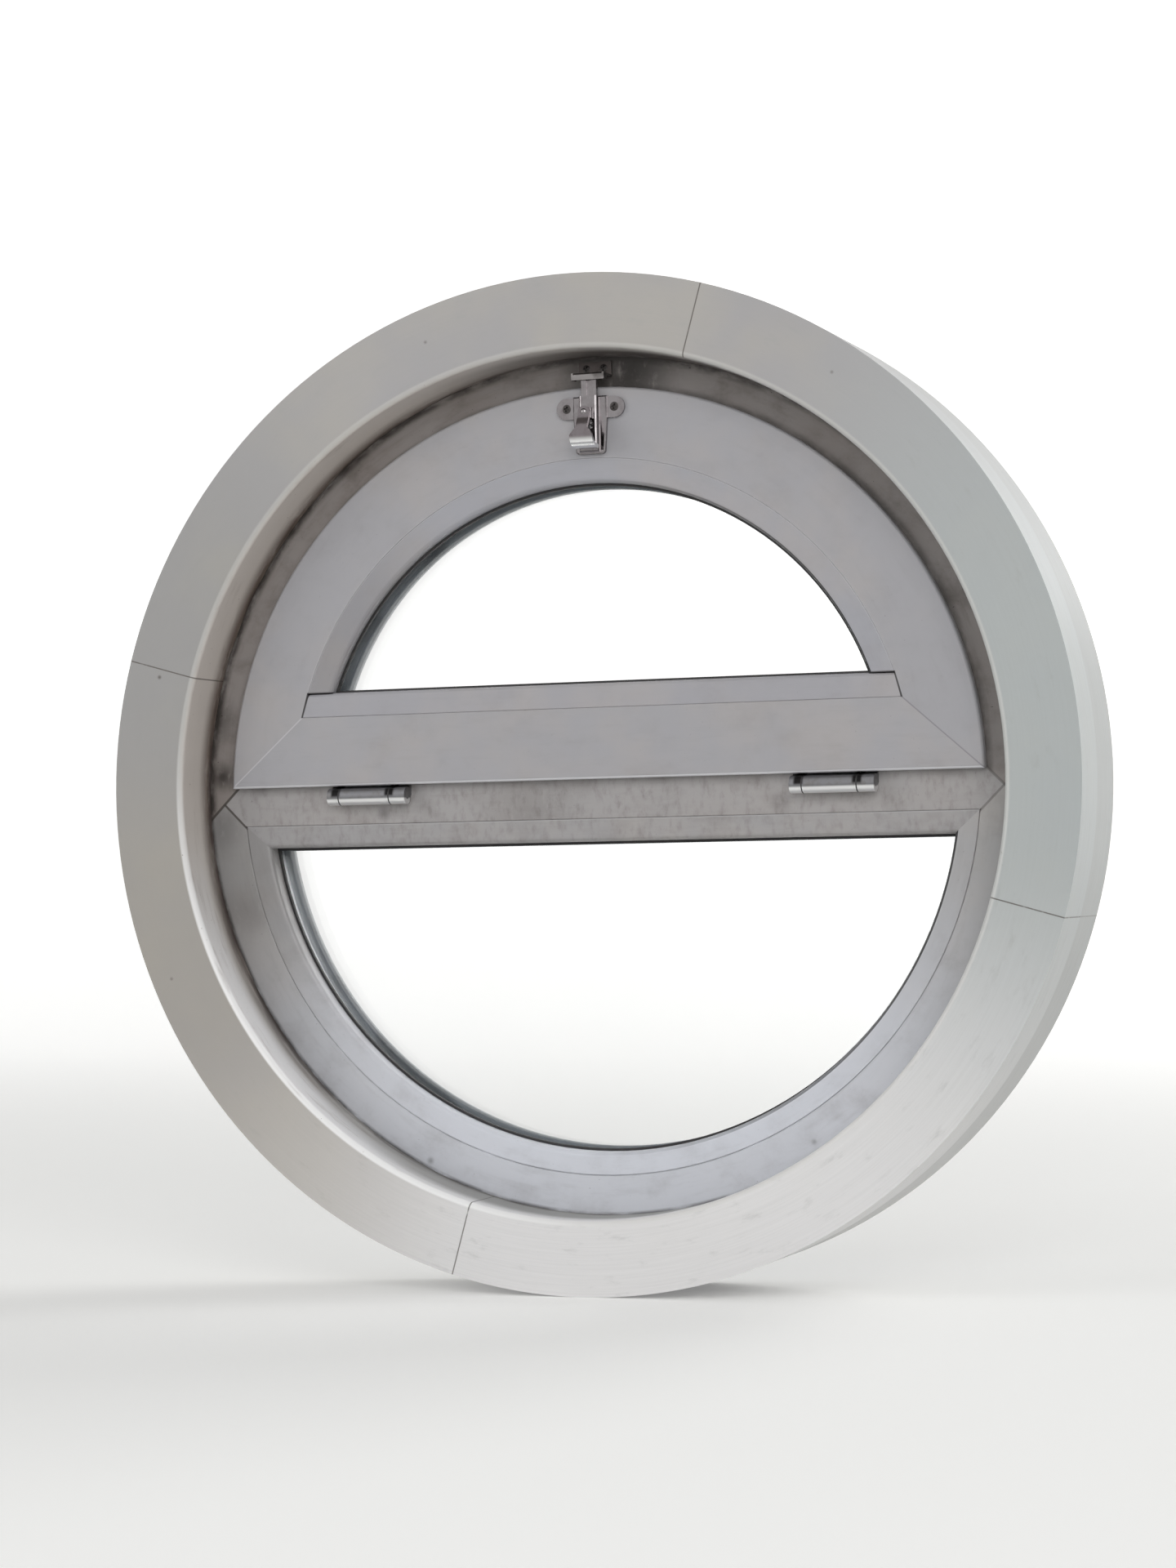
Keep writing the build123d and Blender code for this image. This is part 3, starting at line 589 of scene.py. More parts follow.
    def build(self) -> bpy.types.Material:
        """Make the material.

        Returns:
            The material.
        """
        material, tree = new_material(self.name)
        place = Place(tree, self.first_joint_deg)
        lines, joint = self.brush_lines(place), self.joints(place)
        colour = Coat(place, self.colour)
        colour.lay_all(self.tones)
        colour.lay(THIN_PAINT, lines, self.brush_cover)
        colour.lay_all(self.wear_and_painted_light)
        for nail in self.nails:
            colour.lay(self.crack, place.near(nail), nail.strength)
        colour.lay_all(self.grime_and_painted_light)
        colour.lay(self.crack, joint, place.patches(self.joint_gaps, place.straight),
                   self.joint_cover)
        colour.lay_all(self.edges)
        roughness = Coat(place, self.roughness)
        roughness.lay(self.brushed_roughness, lines, self.brushed_cover)
        roughness.lay(self.soiled_roughness, ramp(tree, place.depth, LIP_EDGE),
                      ramp(tree, place.radius, BORE))
        relief = Coat(place, LEVEL)
        relief.lay(1.0, lines)
        relief.lay(0.0, joint)
        wave = Coat(place, LEVEL)
        wave.lay(1.0, place.patches(self.wave, place.round))
        finish_surface(colour, roughness, [(wave, self.wave_depth), (relief, self.brush_depth)],
                       ior=1.5)
        return material


# Extruded rigid window plastic: an even satin sheen with faint die lines along each length, in which
# dust and grime settle.
@dataclass(frozen=True)
class WindowPlastic:
    """A bent or straight length of the frame, the sash or a bead.

    Pattern picks the length's own set of noise. Tones are broad colours laid by side: painted light
    and painted shade. Rims are rings of dirt and painted shade, and smudges are where dirt has
    gathered, on the indoor faces.
    """

    name: str
    colour: str
    warm: str = "#b4aca6"
    warm_cover: float = 0.35
    grime_and_painted_light: str = "#5a514a"
    dirt_and_shade: str = "#2c2622"
    run: Run = Run.ROUND
    seam_deg: float = 270.0
    pattern: float = 0.0
    dirt: float = 0.3
    wipe_share: float = 0.5
    speck_share: float = 1.6
    streaks: float = 0.0
    tones: tuple[Layer, ...] = ()
    rims: tuple[DirtAndShadeRim, ...] = ()
    smudges: tuple[Smudge, ...] = ()
    indoors: Fade = Fade(68.0, 60.0)
    outdoors: Fade = Fade(60.0, 66.0)
    outdoor_colour: str | None = None
    outdoor_cover: float = 0.85
    weld: Seam | None = None
    weld_width: float = 0.7
    weld_cover: float = 0.7
    # The weld line: a painted highlight on the left half and painted shade on the right half.
    weld_highlight_left: str = "#c3c2c5"
    weld_shade_right: str = "#7f7d81"
    # Painted light that lightens the shade in a joint groove, at a radius or at a level.
    groove_light_r: float | None = None
    groove_light_level: float | None = None
    groove_light_colour: str = "#bcbbbe"
    groove_light_line: Fade = Fade(1.0, 0.4)
    groove_light_cover: float = 0.5
    # A painted highlight along an edge, at a level.
    highlight_level: float | None = None
    highlight_line: Fade = Fade(1.9, 1.2)
    highlight_colour: str = "#e2e2e6"
    highlight_cover: float = 0.9
    joints: tuple[Seam, ...] = ()
    joint_width: float = 1.2
    joint_colour: str = "#3f3935"
    joint_left: float = 0.9
    joint_right: float = 0.9
    lip_r: float | None = None
    lip_line: Fade = Fade(0.3, 0.0)
    lip_colour: str = "#1d1c1d"
    lip_side: Side = Side(0, 100)
    roughness: float = 0.36
    dull_roughness: float = 0.6
    dull_cover: float = 0.8
    line_depth: float = 0.03
    yellowing: Patches = Patches((90, 90, 90), 0.4, 0.68)
    soiling: Patches = Patches((38, 30, 30), 0.46, 0.78, 6.0, 1.0)
    wipes: Patches = Patches((40, 6, 6), 0.48, 0.8, 4.0, 2.0)
    runs: Patches = Patches((5, 5, 11), 0.45, 0.75, 6.0, 3.0)
    specks: Patches = Patches((2.4, 2.4, 2.4), 0.72, 0.75, 2.0, 4.0)
    # Die lines, coarser than real ones, so that they show.
    die_lines: Patches = Patches((400, 1.1, 1.1), 0.3, 0.7, 2.0, 5.0)
    dulling: Patches = Patches((30, 30, 30), 0.35, 0.75, 5.0, 6.0)
    rim_patches: Patches = Patches((24, 9, 9), 0.25, 0.6, 4.0, 7.0)
    smudge_dirt: Patches = Patches((7, 7, 12), 0.2, 0.5, 5.0, 8.0)

    def patches(self, place: Place, shape: Patches, along: Socket | None = None) -> Socket:
        """Patches out of this length's own set.

        Args:
            place: The material's places.
            shape: The patches.
            along: The position that they follow, or nothing for the straight axes.

        Returns:
            A mask from 0 to 1.
        """
        return place.patches(shape, place.straight if along is None else along, self.pattern)

    def lay_dirt_and_painted_light(self, place: Place, colour: Coat, along: Socket) -> None:
        """Lay the yellowing, the painted light and shade, and the dirt, partly painted shade in
        rims.

        Args:
            place: The material's places.
            colour: The colour that gets them.
            along: The position along the length.
        """
        tree = place.tree
        indoors = ramp(tree, place.depth, self.indoors)
        colour.lay(self.warm, self.patches(place, self.yellowing), self.warm_cover)
        colour.lay_all(self.tones)
        colour.lay(self.grime_and_painted_light, self.patches(place, self.soiling), self.dirt)
        colour.lay(self.grime_and_painted_light, self.patches(place, self.wipes, along),
                   self.dirt * self.wipe_share)
        if self.streaks:
            colour.lay(self.grime_and_painted_light, self.patches(place, self.runs), self.streaks)
        # Rings of dirt and painted shade along the gaps and corners.
        for rim in self.rims:
            colour.lay(self.dirt_and_shade, ramp(tree, place.radius, rim.fade), indoors,
                       self.patches(place, self.rim_patches, place.round), rim.strength)
        for smudge in self.smudges:
            colour.lay(self.dirt_and_shade, place.near(smudge), indoors,
                       self.patches(place, self.smudge_dirt), smudge.strength)
        colour.lay(self.dirt_and_shade, self.patches(place, self.specks),
                   min(1.0, self.dirt * self.speck_share))

    def lay_edges(self, place: Place, colour: Coat) -> None:
        """Lay the outdoor face, painted light in the joint grooves and a painted highlight on an
        edge.

        Args:
            place: The material's places.
            colour: The colour that gets them.
        """
        tree = place.tree
        if self.outdoor_colour:
            colour.lay(self.outdoor_colour, ramp(tree, place.depth, self.outdoors),
                       self.outdoor_cover)
        # Painted light in the joint grooves.
        for value, level in ((place.radius, self.groove_light_r), (place.height, self.groove_light_level)):
            if level is not None:
                away = distance(tree, value, level)
                colour.lay(self.groove_light_colour, ramp(tree, away, self.groove_light_line), self.groove_light_cover)
        # A painted highlight along the edge.
        if self.highlight_level is not None:
            edge = ramp(tree, place.height, self.highlight_line.at(self.highlight_level))
            colour.lay(self.highlight_colour, edge, self.highlight_cover)

    def lay_lines(self, place: Place, colour: Coat, relief: Coat) -> None:
        """Lay the weld, the joint lines and the line of gasket along the edge.

        Args:
            place: The material's places.
            colour: The colour that gets them.
            relief: The relief that the weld and the joints cut into.
        """
        tree = place.tree
        left, right = ramp(tree, place.across, LEFT), ramp(tree, place.across, RIGHT)
        if self.weld:
            weld = place.line(self.weld, self.weld_width)
            # The weld's painted highlight on the left and painted shade on the right.
            colour.lay(self.weld_highlight_left, weld, left, self.weld_cover)
            colour.lay(self.weld_shade_right, weld, right, self.weld_cover)
            relief.lay(0.0, weld)
        for seam in self.joints:
            joint = place.line(seam, self.joint_width)
            colour.lay(self.joint_colour, joint, left, self.joint_left)
            colour.lay(self.joint_colour, joint, right, self.joint_right)
            relief.lay(0.0, joint)
        if self.lip_r is not None:
            lip = ramp(tree, place.radius, self.lip_line.at(self.lip_r))
            colour.lay(self.lip_colour, lip, place.facing(self.lip_side))

    def build(self) -> bpy.types.Material:
        """Make the material.

        Returns:
            The material.
        """
        material, tree = new_material(self.name)
        place = Place(tree, self.seam_deg)
        along = place.round if self.run is Run.ROUND else place.straight
        colour = Coat(place, self.colour)
        self.lay_dirt_and_painted_light(place, colour, along)
        self.lay_edges(place, colour)
        relief = Coat(place, LEVEL)
        relief.lay(1.0, self.patches(place, self.die_lines, along))
        self.lay_lines(place, colour, relief)
        roughness = Coat(place, self.roughness)
        roughness.lay(self.dull_roughness, self.patches(place, self.dulling), self.dull_cover)
        finish_surface(colour, roughness, [(relief, self.line_depth)], ior=1.53)
        return material


# Plated, coated or rolled metal: its sheen is broken by brush lines, tarnish and spots.
@dataclass(frozen=True)
class MetalFinish:
    """A metal of the hardware.

    Black bands are dark bands on the upper half, at distances from the middle line. Foot is where
    a painted highlight lies, by height, and back is where a piece's colour changes with depth.
    """

    name: str
    colour: str
    tarnish: str
    roughness: float
    # Brush lines, coarser than real ones, so that they show.
    brush: Patches = Patches((30.0, 0.7, 0.7), 0.3, 0.7)
    brush_cover: float = 0.15
    brush_depth: float = 0.01
    spots: Patches = Patches((6.0, 6.0, 6.0), 0.45, 0.7, 5.0, 1.0)
    tarnish_share: float = 0.5
    worn_roughness: float = 0.5
    black_bands: tuple[float, ...] = ()
    black_band_colour: str = "#141212"
    black_band_line: Fade = Fade(5.0, 2.5)
    black_band_height: float = 0.0
    black_band_top: Fade = Fade(-1.5, 1.5)
    black_band_cover: float = 0.95
    foot_highlight_colour: str | None = None
    foot: Fade = Fade(0.0, 0.0)
    back_colour: str | None = None
    back_depth: float = 0.0
    back_line: Fade = Fade(-4.5, -3.0)
    back_cover: float = 0.9

    def lay_highlight_and_marks(self, place: Place, colour: Coat) -> None:
        """Lay the painted highlight at the foot, the darker back and the black bands.

        Args:
            place: The material's places.
            colour: The colour that gets them.
        """
        tree = place.tree
        # A painted highlight at the foot.
        if self.foot_highlight_colour:
            colour.lay(self.foot_highlight_colour, ramp(tree, place.height, self.foot))
        if self.back_colour:
            back = ramp(tree, place.depth, self.back_line.at(self.back_depth))
            colour.lay(self.back_colour, back, self.back_cover)
        for x in self.black_bands:
            away = distance(tree, place.across, x)
            top = ramp(tree, place.height, self.black_band_top.at(self.black_band_height))
            colour.lay(self.black_band_colour, ramp(tree, away, self.black_band_line), top,
                       self.black_band_cover)

    def build(self) -> bpy.types.Material:
        """Make the material.

        Returns:
            The material.
        """
        material, tree = new_material(self.name)
        place = Place(tree)
        lines = place.patches(self.brush, place.straight)
        spots = place.patches(self.spots, place.straight)
        colour = Coat(place, self.colour)
        colour.lay(self.tarnish, spots, self.tarnish_share)
        colour.lay(self.tarnish, lines, self.brush_cover)
        self.lay_highlight_and_marks(place, colour)
        roughness = Coat(place, self.roughness)
        roughness.lay(self.worn_roughness, spots, self.tarnish_share)
        relief = Coat(place, LEVEL)
        relief.lay(1.0, lines)
        finish_surface(colour, roughness, [(relief, self.brush_depth)], metallic=1.0)
        return material


@dataclass(frozen=True)
class PlainFinish:
    """A finish that one pattern tints and roughens.

    Wear and relief are other patterns for its rough places and its relief, or nothing for the same
    one. The relief stands up where relief_level is 1 and is sunk where it is 0, and relief_depth
    millimetres lie between the two.
    """

    name: str
    colour: str
    tint: str
    tinting: Patches
    tint_cover: float
    roughness: float
    worn_roughness: float
    ior: float
    wear_and_painted_light: Patches | None = None
    relief: Patches | None = None
    relief_level: float = 1.0
    relief_depth: float = 0.0
    runs_round: bool = False
    seam_deg: float = 270.0
    transmission: float = 0.0
    alpha: float = 1.0

    def build(self) -> bpy.types.Material:
        """Make the material.

        Returns:
            The material.
        """
        material, tree = new_material(self.name)
        place = Place(tree, self.seam_deg)
        along = place.round if self.runs_round else place.straight
        colour = Coat(place, self.colour)
        colour.lay(self.tint, place.patches(self.tinting, along), self.tint_cover)
        roughness = Coat(place, self.roughness)
        roughness.lay(self.worn_roughness, place.patches(self.wear_and_painted_light or self.tinting, along))
        heights = []
        if self.relief_depth:
            relief = Coat(place, LEVEL)
            relief.lay(self.relief_level, place.patches(self.relief or self.tinting, along))
            heights.append((relief, self.relief_depth))
        finish_surface(colour, roughness, heights, ior=self.ior,
                       transmission_weight=self.transmission, alpha=self.alpha)
        return material


# Planed beech, unpainted: brown and matt, with open grain lengthwise.
BEECH = PlainFinish("beech_planed_bare", "#b48a5e", "#8a6238",
                    Patches((60, 1.2, 1.2), 0.4, 0.7, 4.0), tint_cover=0.7, roughness=0.6,
                    worn_roughness=0.75, ior=1.5, relief_level=0.0, relief_depth=0.1,
                    runs_round=True, seam_deg=254.0)
# Clear float glass: smooth, with a thin film of dust that greys it in patches. A part of the light
# goes straight through, so that what stands behind the panes is lit.
GLASS = PlainFinish("float_glass_clear", "#fdfefe", "#eef1f2",
                    Patches((60, 60, 90), 0.45, 0.8, 6.0), tint_cover=0.35, roughness=0.0,
                    worn_roughness=0.03, ior=1.52, transmission=1.0, alpha=0.15)
# Extruded rubber: black and matt, with fine pores and dust that greys it.
RUBBER = PlainFinish("glazing_gasket_rubber", "#1d1c1d", "#5b5752",
                     Patches((9, 9, 9), 0.5, 0.8, 5.0), tint_cover=0.5, roughness=0.55,
                     worn_roughness=0.85, ior=1.52,
                     relief=Patches((0.6, 0.6, 0.6), 0.35, 0.65, 1.0), relief_depth=0.05)
# The same rubber outdoors, which weather has bleached to grey.
WEATHERED_RUBBER = replace(RUBBER, name="glazing_gasket_weathered", colour="#7c8389",
                           tint="#8d9398")
# Cut foam: grey and matt, with larger pores.
FOAM = replace(RUBBER, name="foam_tape_grey", colour="#3a3a3b",
               relief=Patches((1.5, 1.5, 1.5), 0.35, 0.65, 1.0))
# Injection-moulded nylon: a spark texture, drawn coarser than a real one, and a low sheen.
SPARK = Patches((0.5, 0.5, 0.5), 0.3, 0.7, 2.0)
BLUE_NYLON = PlainFinish("packer_nylon_blue", "#3d5f8c", "#2f4d75",
                         Patches((12, 12, 12), 0.4, 0.7), tint_cover=0.5, roughness=0.5,
                         worn_roughness=0.65, ior=1.53, wear_and_painted_light=SPARK, relief=SPARK,
                         relief_depth=0.02)
BLACK_NYLON = replace(BLUE_NYLON, name="washer_nylon_black", colour="#1b1a1a", tint="#2a2828")


def spots_of(size: float) -> Patches:
    """Tarnish in spots of one size, in millimetres."""
    return Patches((size, size, size), 0.45, 0.7, 5.0, 1.0)


# Satin nickel on pressed steel: warm grey with a broad soft sheen.
SATIN_NICKEL = MetalFinish("steel_satin_nickel_plated", "#929295", "#66635f", 0.3)
# Zinc plate on screws, pins and the spring: dull grey, mottled in small spots.
ZINC = MetalFinish("steel_zinc_plated", "#8c8c8e", "#5b5753", 0.4, spots=spots_of(3.0))
# Hot-dip zinc on the stiffening steel: pale grey with large spangles in place of brush lines.
GALVANISED = MetalFinish("steel_hot_dip_galvanised", "#a0a3a5", "#7d8184", 0.45,
                         brush=Patches((14.0, 14.0, 14.0), 0.3, 0.7), spots=spots_of(16.0))
# Chrome plate on a zinc casting: a sharp, darkish mirror, polished up and down.
CHROME = MetalFinish("zinc_casting_chrome_plated", "#8b8788", "#5c5355", 0.14,
                     brush=Patches((0.8, 0.8, 22.0), 0.3, 0.7), spots=spots_of(8.0),
                     tarnish_share=0.4, worn_roughness=0.3)
# Bright rolled aluminium between the panes: almost white, with hardly any tarnish.
SPACER = MetalFinish("aluminium_spacer_bright_rolled", "#f6f7f8", "#dcdee1", 0.35,
                     tarnish_share=0.2)
# Screws blackened with age: dark, spotted and half dull.
BLACKENED = MetalFinish("steel_screw_blackened", "#4a4746", "#2b2827", 0.4, spots=spots_of(2.0))

# Painted light at the plastic's foot and painted shade on a side, the colour of its outdoor faces,
# and the gaps at the beads.
FOOT_SIDE = Side(-88, 82)
PAINTED_LIGHT = "#dadde5"
PAINTED_SHADE = "#6c6763"
OUTDOORS = "#adacaa"
GAP = "#1f1c1c"

Finish = PaintedTimber | WindowPlastic | MetalFinish | PlainFinish


@cache
def made(finish: Finish) -> bpy.types.Material:
    """The material of a finish, which is made once."""
    return finish.build()


def dress(finish: Finish, *nodes: str) -> None:
    """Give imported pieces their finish.

    Args:
        finish: The finish.
        nodes: The pieces' names.
    """
    material = made(finish)
    for node in nodes:
        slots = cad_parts[node].data.materials
        slots.clear()
        slots.append(material)
        LOG.info("%s: %s", node, material.name)


def corners(node: str) -> tuple[Vector, Vector]:
    """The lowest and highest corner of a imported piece.

    Args:
        node: The piece's name.

    Returns:
        Both corners, in millimetres.
    """
    low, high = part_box(node)
    return Vector(low) / MM, Vector(high) / MM


def half_width_at(node: str, height: float) -> float:
    """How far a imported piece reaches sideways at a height.

    Args:
        node: The piece's name.
        height: The height of some of its corners, in millimetres.

    Returns:
        The largest distance from the middle line, in millimetres.
    """
    points = [v.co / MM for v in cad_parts[node].data.vertices]
    return max(abs(p.x) for p in points if abs(p.z - height) < SAME_HEIGHT)


def deselect() -> None:
    """Leave edit mode and select nothing."""
    if bpy.context.mode != "OBJECT":
        bpy.ops.object.mode_set(mode="OBJECT")
    bpy.ops.object.select_all(action="DESELECT")


def select(*pieces: bpy.types.Object) -> None:
    """Select pieces and nothing else.

    Args:
        pieces: The pieces, of which the first becomes active.
    """
    deselect()
    for piece in pieces:
        piece.select_set(True)
    bpy.context.view_layer.objects.active = pieces[0]


def settle(piece: bpy.types.Object, material: bpy.types.Material, name: str, body: str,
           slot: str, *replaced: str) -> None:
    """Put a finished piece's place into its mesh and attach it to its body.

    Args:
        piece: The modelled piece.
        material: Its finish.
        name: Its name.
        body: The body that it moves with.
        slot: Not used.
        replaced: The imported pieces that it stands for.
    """
    select(piece)
    bpy.ops.object.transform_apply(location=True, rotation=True, scale=True)
    bpy.ops.object.shade_smooth_by_angle(angle=math.radians(SMOOTH_DEG))
    piece.name = piece.data.name = name
    piece.data.materials.clear()
    piece.data.materials.append(material)
    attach(piece, body)
    if replaced:
        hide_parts(*replaced)
    LOG.info("%s rides on %s", name, body)


@dataclass
class TimberRing:
    """The four glued segments with their tongues, and the foam tape behind the lip."""

    segment_count: int = 4
    paint: PaintedTimber = PaintedTimber()

    def dress(self) -> None:
        """Give the ring its finishes."""
        segments = [f"ring_segment_{number}" for number in range(1, self.segment_count + 1)]
        dress(self.paint, *segments)
        dress(BEECH, "ring_tongues")
        dress(FOAM, "lip_tape")


@dataclass
class WindowFrame:
    """The plastic frame in the ring, with its transom, steel, screws and seal."""

    rim_r: float = 366.0
    # Grimy plastic, also darkened as painted shade: brownish, with dirt and painted shade in rings
    # along its rims, and dirt round the keeper.
    upper: WindowPlastic = WindowPlastic(
        "window_plastic_grimy_and_shaded", "#918b88", warm="#776b63", grime_and_painted_light="#463c35", dirt=0.55,
        outdoor_colour=OUTDOORS, joint_width=1.6, joint_right=0.5,
        rims=(DirtAndShadeRim(Fade(322.0, 317.0), 0.5), DirtAndShadeRim(Fade(334.0, 340.0), 0.9)),
        smudges=(Smudge(34.0, 328.0, 52.0, 1.0), Smudge(-8.0, 331.0, 30.0, 0.6),
                 Smudge(-330.0, 15.0, 17.0, 0.9), Smudge(-340.0, 62.0, 30.0, 0.8)))
    # Dull plastic, paler at its foot as painted light and darker on its left as painted shade, with
    # dirt and painted shade in rings along its rims.
    lower: WindowPlastic = WindowPlastic(
        "window_plastic_dull", "#a3a2a2", seam_deg=90.0, pattern=20.0, dirt=0.25,
        joint_right=0.5,
        tones=(Layer(PAINTED_LIGHT, 0.85, side=FOOT_SIDE), Layer(PAINTED_SHADE, 0.3, side=Side(182.0, 34.0))),
        rims=(DirtAndShadeRim(Fade(338.0, 341.5), 0.8), DirtAndShadeRim(Fade(311.5, 309.8), 0.5)),
        smudges=(Smudge(-330.0, -30.0, 26.0, 0.3), Smudge(-312.0, -96.0, 30.0, 0.25),
                 Smudge(-150.0, -300.0, 4.5, 0.45), Smudge(172.0, -282.0, 3.5, 0.35)))
    # Plastic that dirty water has streaked downwards.
    transom: WindowPlastic = WindowPlastic(
        "window_plastic_streaked", "#a29f9f", warm="#a59e9a", run=Run.LEVEL, pattern=40.0,
        dirt=0.3, streaks=0.35, outdoor_colour=OUTDOORS, joint_right=0.5,
        smudges=(Smudge(-186.0, -19.0, 9.0, 0.5), Smudge(-60.0, -24.0, 60.0, 0.25),
                 Smudge(150.0, -18.0, 12.0, 0.3), Smudge(-296.0, 6.0, 12.0, 0.3)))
    seal: PlainFinish = replace(RUBBER, name="seal_rubber_frame")

    def joint_lines(self) -> tuple[Seam, Seam]:
        """The two joint lines at each end of the transom, at 45 degrees.

        Returns:
            The line above the transom's tip and the one below it.
        """
        low, high = corners("transom")
        middle, half = (low.z + high.z) / 2, (high.z - low.z) / 2
        tip = high.x
        run = self.rim_r - tip
        upper = Seam((tip - half, middle + half), (tip + run, middle - run))
        lower = Seam((tip - half, middle - half), (tip, middle))
        return upper, lower

    def dress(self) -> None:
        """Give the frame its finishes."""
        joints = self.joint_lines()
        foot = corners("transom")[0].z
        dress(replace(self.upper, joints=joints), "frame_arch_upper")
        dress(replace(self.lower, joints=joints), "frame_arch_lower")
        dress(replace(self.transom, joints=joints, groove_light_level=foot), "transom")
        dress(GALVANISED, "transom_steel", "sash_rail_steel")
        dress(ZINC, "frame_screws")
        dress(self.seal, "frame_seal")


@dataclass
class Glazing:
    """The glass unit of one light, with its beads, gaskets, spacer and packers."""

    prefix: str
    curved: WindowPlastic
    level: WindowPlastic

    def dress(self) -> None:
        """Give the glazing its finishes."""
        dress(GLASS, f"{self.prefix}_inner_pane", f"{self.prefix}_outer_pane")
        dress(RUBBER, f"{self.prefix}_inner_gasket")
        dress(WEATHERED_RUBBER, f"{self.prefix}_outer_gasket")
        dress(SPACER, f"{self.prefix}_spacer")
        dress(BLUE_NYLON, f"{self.prefix}_blocks")
        dress(self.curved, f"{self.prefix}_curved_bead")
        dress(self.level, f"{self.prefix}_straight_bead")


@dataclass
class LowerLight:
    """The fixed glazing below the transom.

    The curved bead's edge lies gasket_cover inside the outer gasket's rim. From that edge on, the
    bead is dark over gasket_show, where the eye meets the gasket's line.
    """

    gasket_cover: float = 10.0
    gasket_show: float = 2.4
    # The curved bead: paler at its foot as painted light, darker on its left as painted shade.
    bead: WindowPlastic = WindowPlastic(
        "lower_bead_plastic_curved", "#a5a4a5", seam_deg=90.0, pattern=100.0, dirt=0.2,
        tones=(Layer(PAINTED_LIGHT, 0.95, side=FOOT_SIDE), Layer(PAINTED_SHADE, 0.4, side=Side(184.0, 34.0))))
    head: WindowPlastic = WindowPlastic(
        "lower_bead_plastic_straight", "#a09e9f", run=Run.LEVEL, pattern=110.0, dirt=0.3,
        streaks=0.3)

    def dress(self) -> None:
        """Give the lower light its finishes."""
        sight_r = -corners("lower_outer_gasket")[0].z - self.gasket_cover
        bead = replace(self.bead, lip_r=sight_r + self.gasket_show)
        head = replace(self.head, groove_light_level=corners("lower_straight_bead")[1].z)
        Glazing("lower", bead, head).dress()


@dataclass
class Sash:
    """The half-round sash that tilts indoors, with its glazing and seal.

    From its edge at sight_r on, the curved bead is dark over gasket_show, where the eye meets the
    gasket's line.
    """

    sight_r: float = 240.0
    gasket_show: float = 1.8
    # Plastic that is wiped now and then: cleaner, with an even satin sheen.
    arch: WindowPlastic = WindowPlastic(
        "window_plastic_wiped", "#a4a3a7", pattern=60.0, dirt=0.12, joint_colour=GAP,
        joint_width=1.0)
    rail: WindowPlastic = WindowPlastic(
        "window_plastic_wiped_rail", "#a4a3a7", run=Run.LEVEL, pattern=70.0, dirt=0.14)
    # The curved bead is darker on its left, as painted shade.
    bead: WindowPlastic = WindowPlastic(
        "bead_plastic_curved", "#a3a3a9", pattern=80.0, dirt=0.12, joint_colour=GAP,
        joint_width=1.0, tones=(Layer(PAINTED_SHADE, 0.35, side=Side(160.0, 42.0)),))
    foot: WindowPlastic = WindowPlastic(
        "bead_plastic_straight", "#a3a2a7", run=Run.LEVEL, pattern=90.0, dirt=0.12,
        joint_colour=GAP, joint_width=1.0)
    seal: PlainFinish = replace(RUBBER, name="seal_rubber_sash")

    def weld(self) -> Seam:
        """The mitre line from the sash's outer corner to the rail's inner top.

        Returns:
            The line.
        """
        low, high = corners("sash_rail")
        return Seam((half_width_at("sash_rail", low.z), low.z),
                    (half_width_at("sash_rail", high.z), high.z))

    def bead_gaps(self) -> tuple[Seam, Seam]:
        """The gap at each end of the straight bead and the one below the curved bead's foot.

        Returns:
            Both gaps.
        """
        low, high = corners("sash_straight_bead")
        shoulder = half_width_at("sash_curved_bead", high.z)
        inner = math.sqrt(self.sight_r ** 2 - high.z ** 2)
        return Seam((high.x, low.z), (shoulder, high.z)), Seam((shoulder, high.z), (inner, high.z))

    def dress(self) -> None:
        """Give the sash its finishes."""
        weld, gaps = self.weld(), self.bead_gaps()
        low, high = corners("sash_straight_bead")
        rebate_r = self.sight_r + high.z - low.z
        rail_foot = corners("sash_rail")[0].z
        dress(replace(self.arch, weld=weld, joints=gaps, groove_light_r=rebate_r), "sash_arch")
        # The rail's foot gets a painted highlight.
        dress(replace(self.rail, weld=weld, highlight_level=rail_foot), "sash_rail")
        dress(self.seal, "sash_seal")
        bead = replace(self.bead, joints=gaps, groove_light_r=rebate_r,
                       lip_r=self.sight_r + self.gasket_show)
        Glazing("sash", bead, replace(self.foot, joints=gaps)).dress()


@dataclass
class Hinges:
    """Two butt hinges whose leaves are hidden between sash and transom.

    Their knuckles are darker than clean nickel, as painted shade, with a painted highlight below
    the pin's axis. Black bands lie at the washers, on the barrel's upper half.
    """

    sides: tuple[str, str] = ("left", "right")
    # The knuckles' colour is darkened as painted shade, and their foot gets a painted highlight.
    shaded_knuckle_colour: str = "#7b7b7e"
    foot_highlight_colour: str = "#f4f4f4"
    foot_highlight_line: Fade = Fade(-1.0, -3.0)
    black_band_past: float = 2.0

    def dress(self) -> None:
        """Give the hinges their finishes."""
        for side in self.sides:
            low, high = corners(f"hinge_washers_{side}")
            axis = (low.z + high.z) / 2
            nickel = replace(SATIN_NICKEL, name=f"{SATIN_NICKEL.name}_{side}",
                             colour=self.shaded_knuckle_colour, black_bands=(low.x - self.black_band_past, high.x),
                             black_band_height=axis, foot_highlight_colour=self.foot_highlight_colour,
                             foot=self.foot_highlight_line.at(axis))
            dress(nickel, f"hinge_frame_leaf_{side}", f"hinge_sash_leaf_{side}")
            dress(ZINC, f"hinge_pin_{side}")
            dress(BLACK_NYLON, f"hinge_washers_{side}")
        dress(ZINC, "hinge_frame_screws", "hinge_sash_screws")


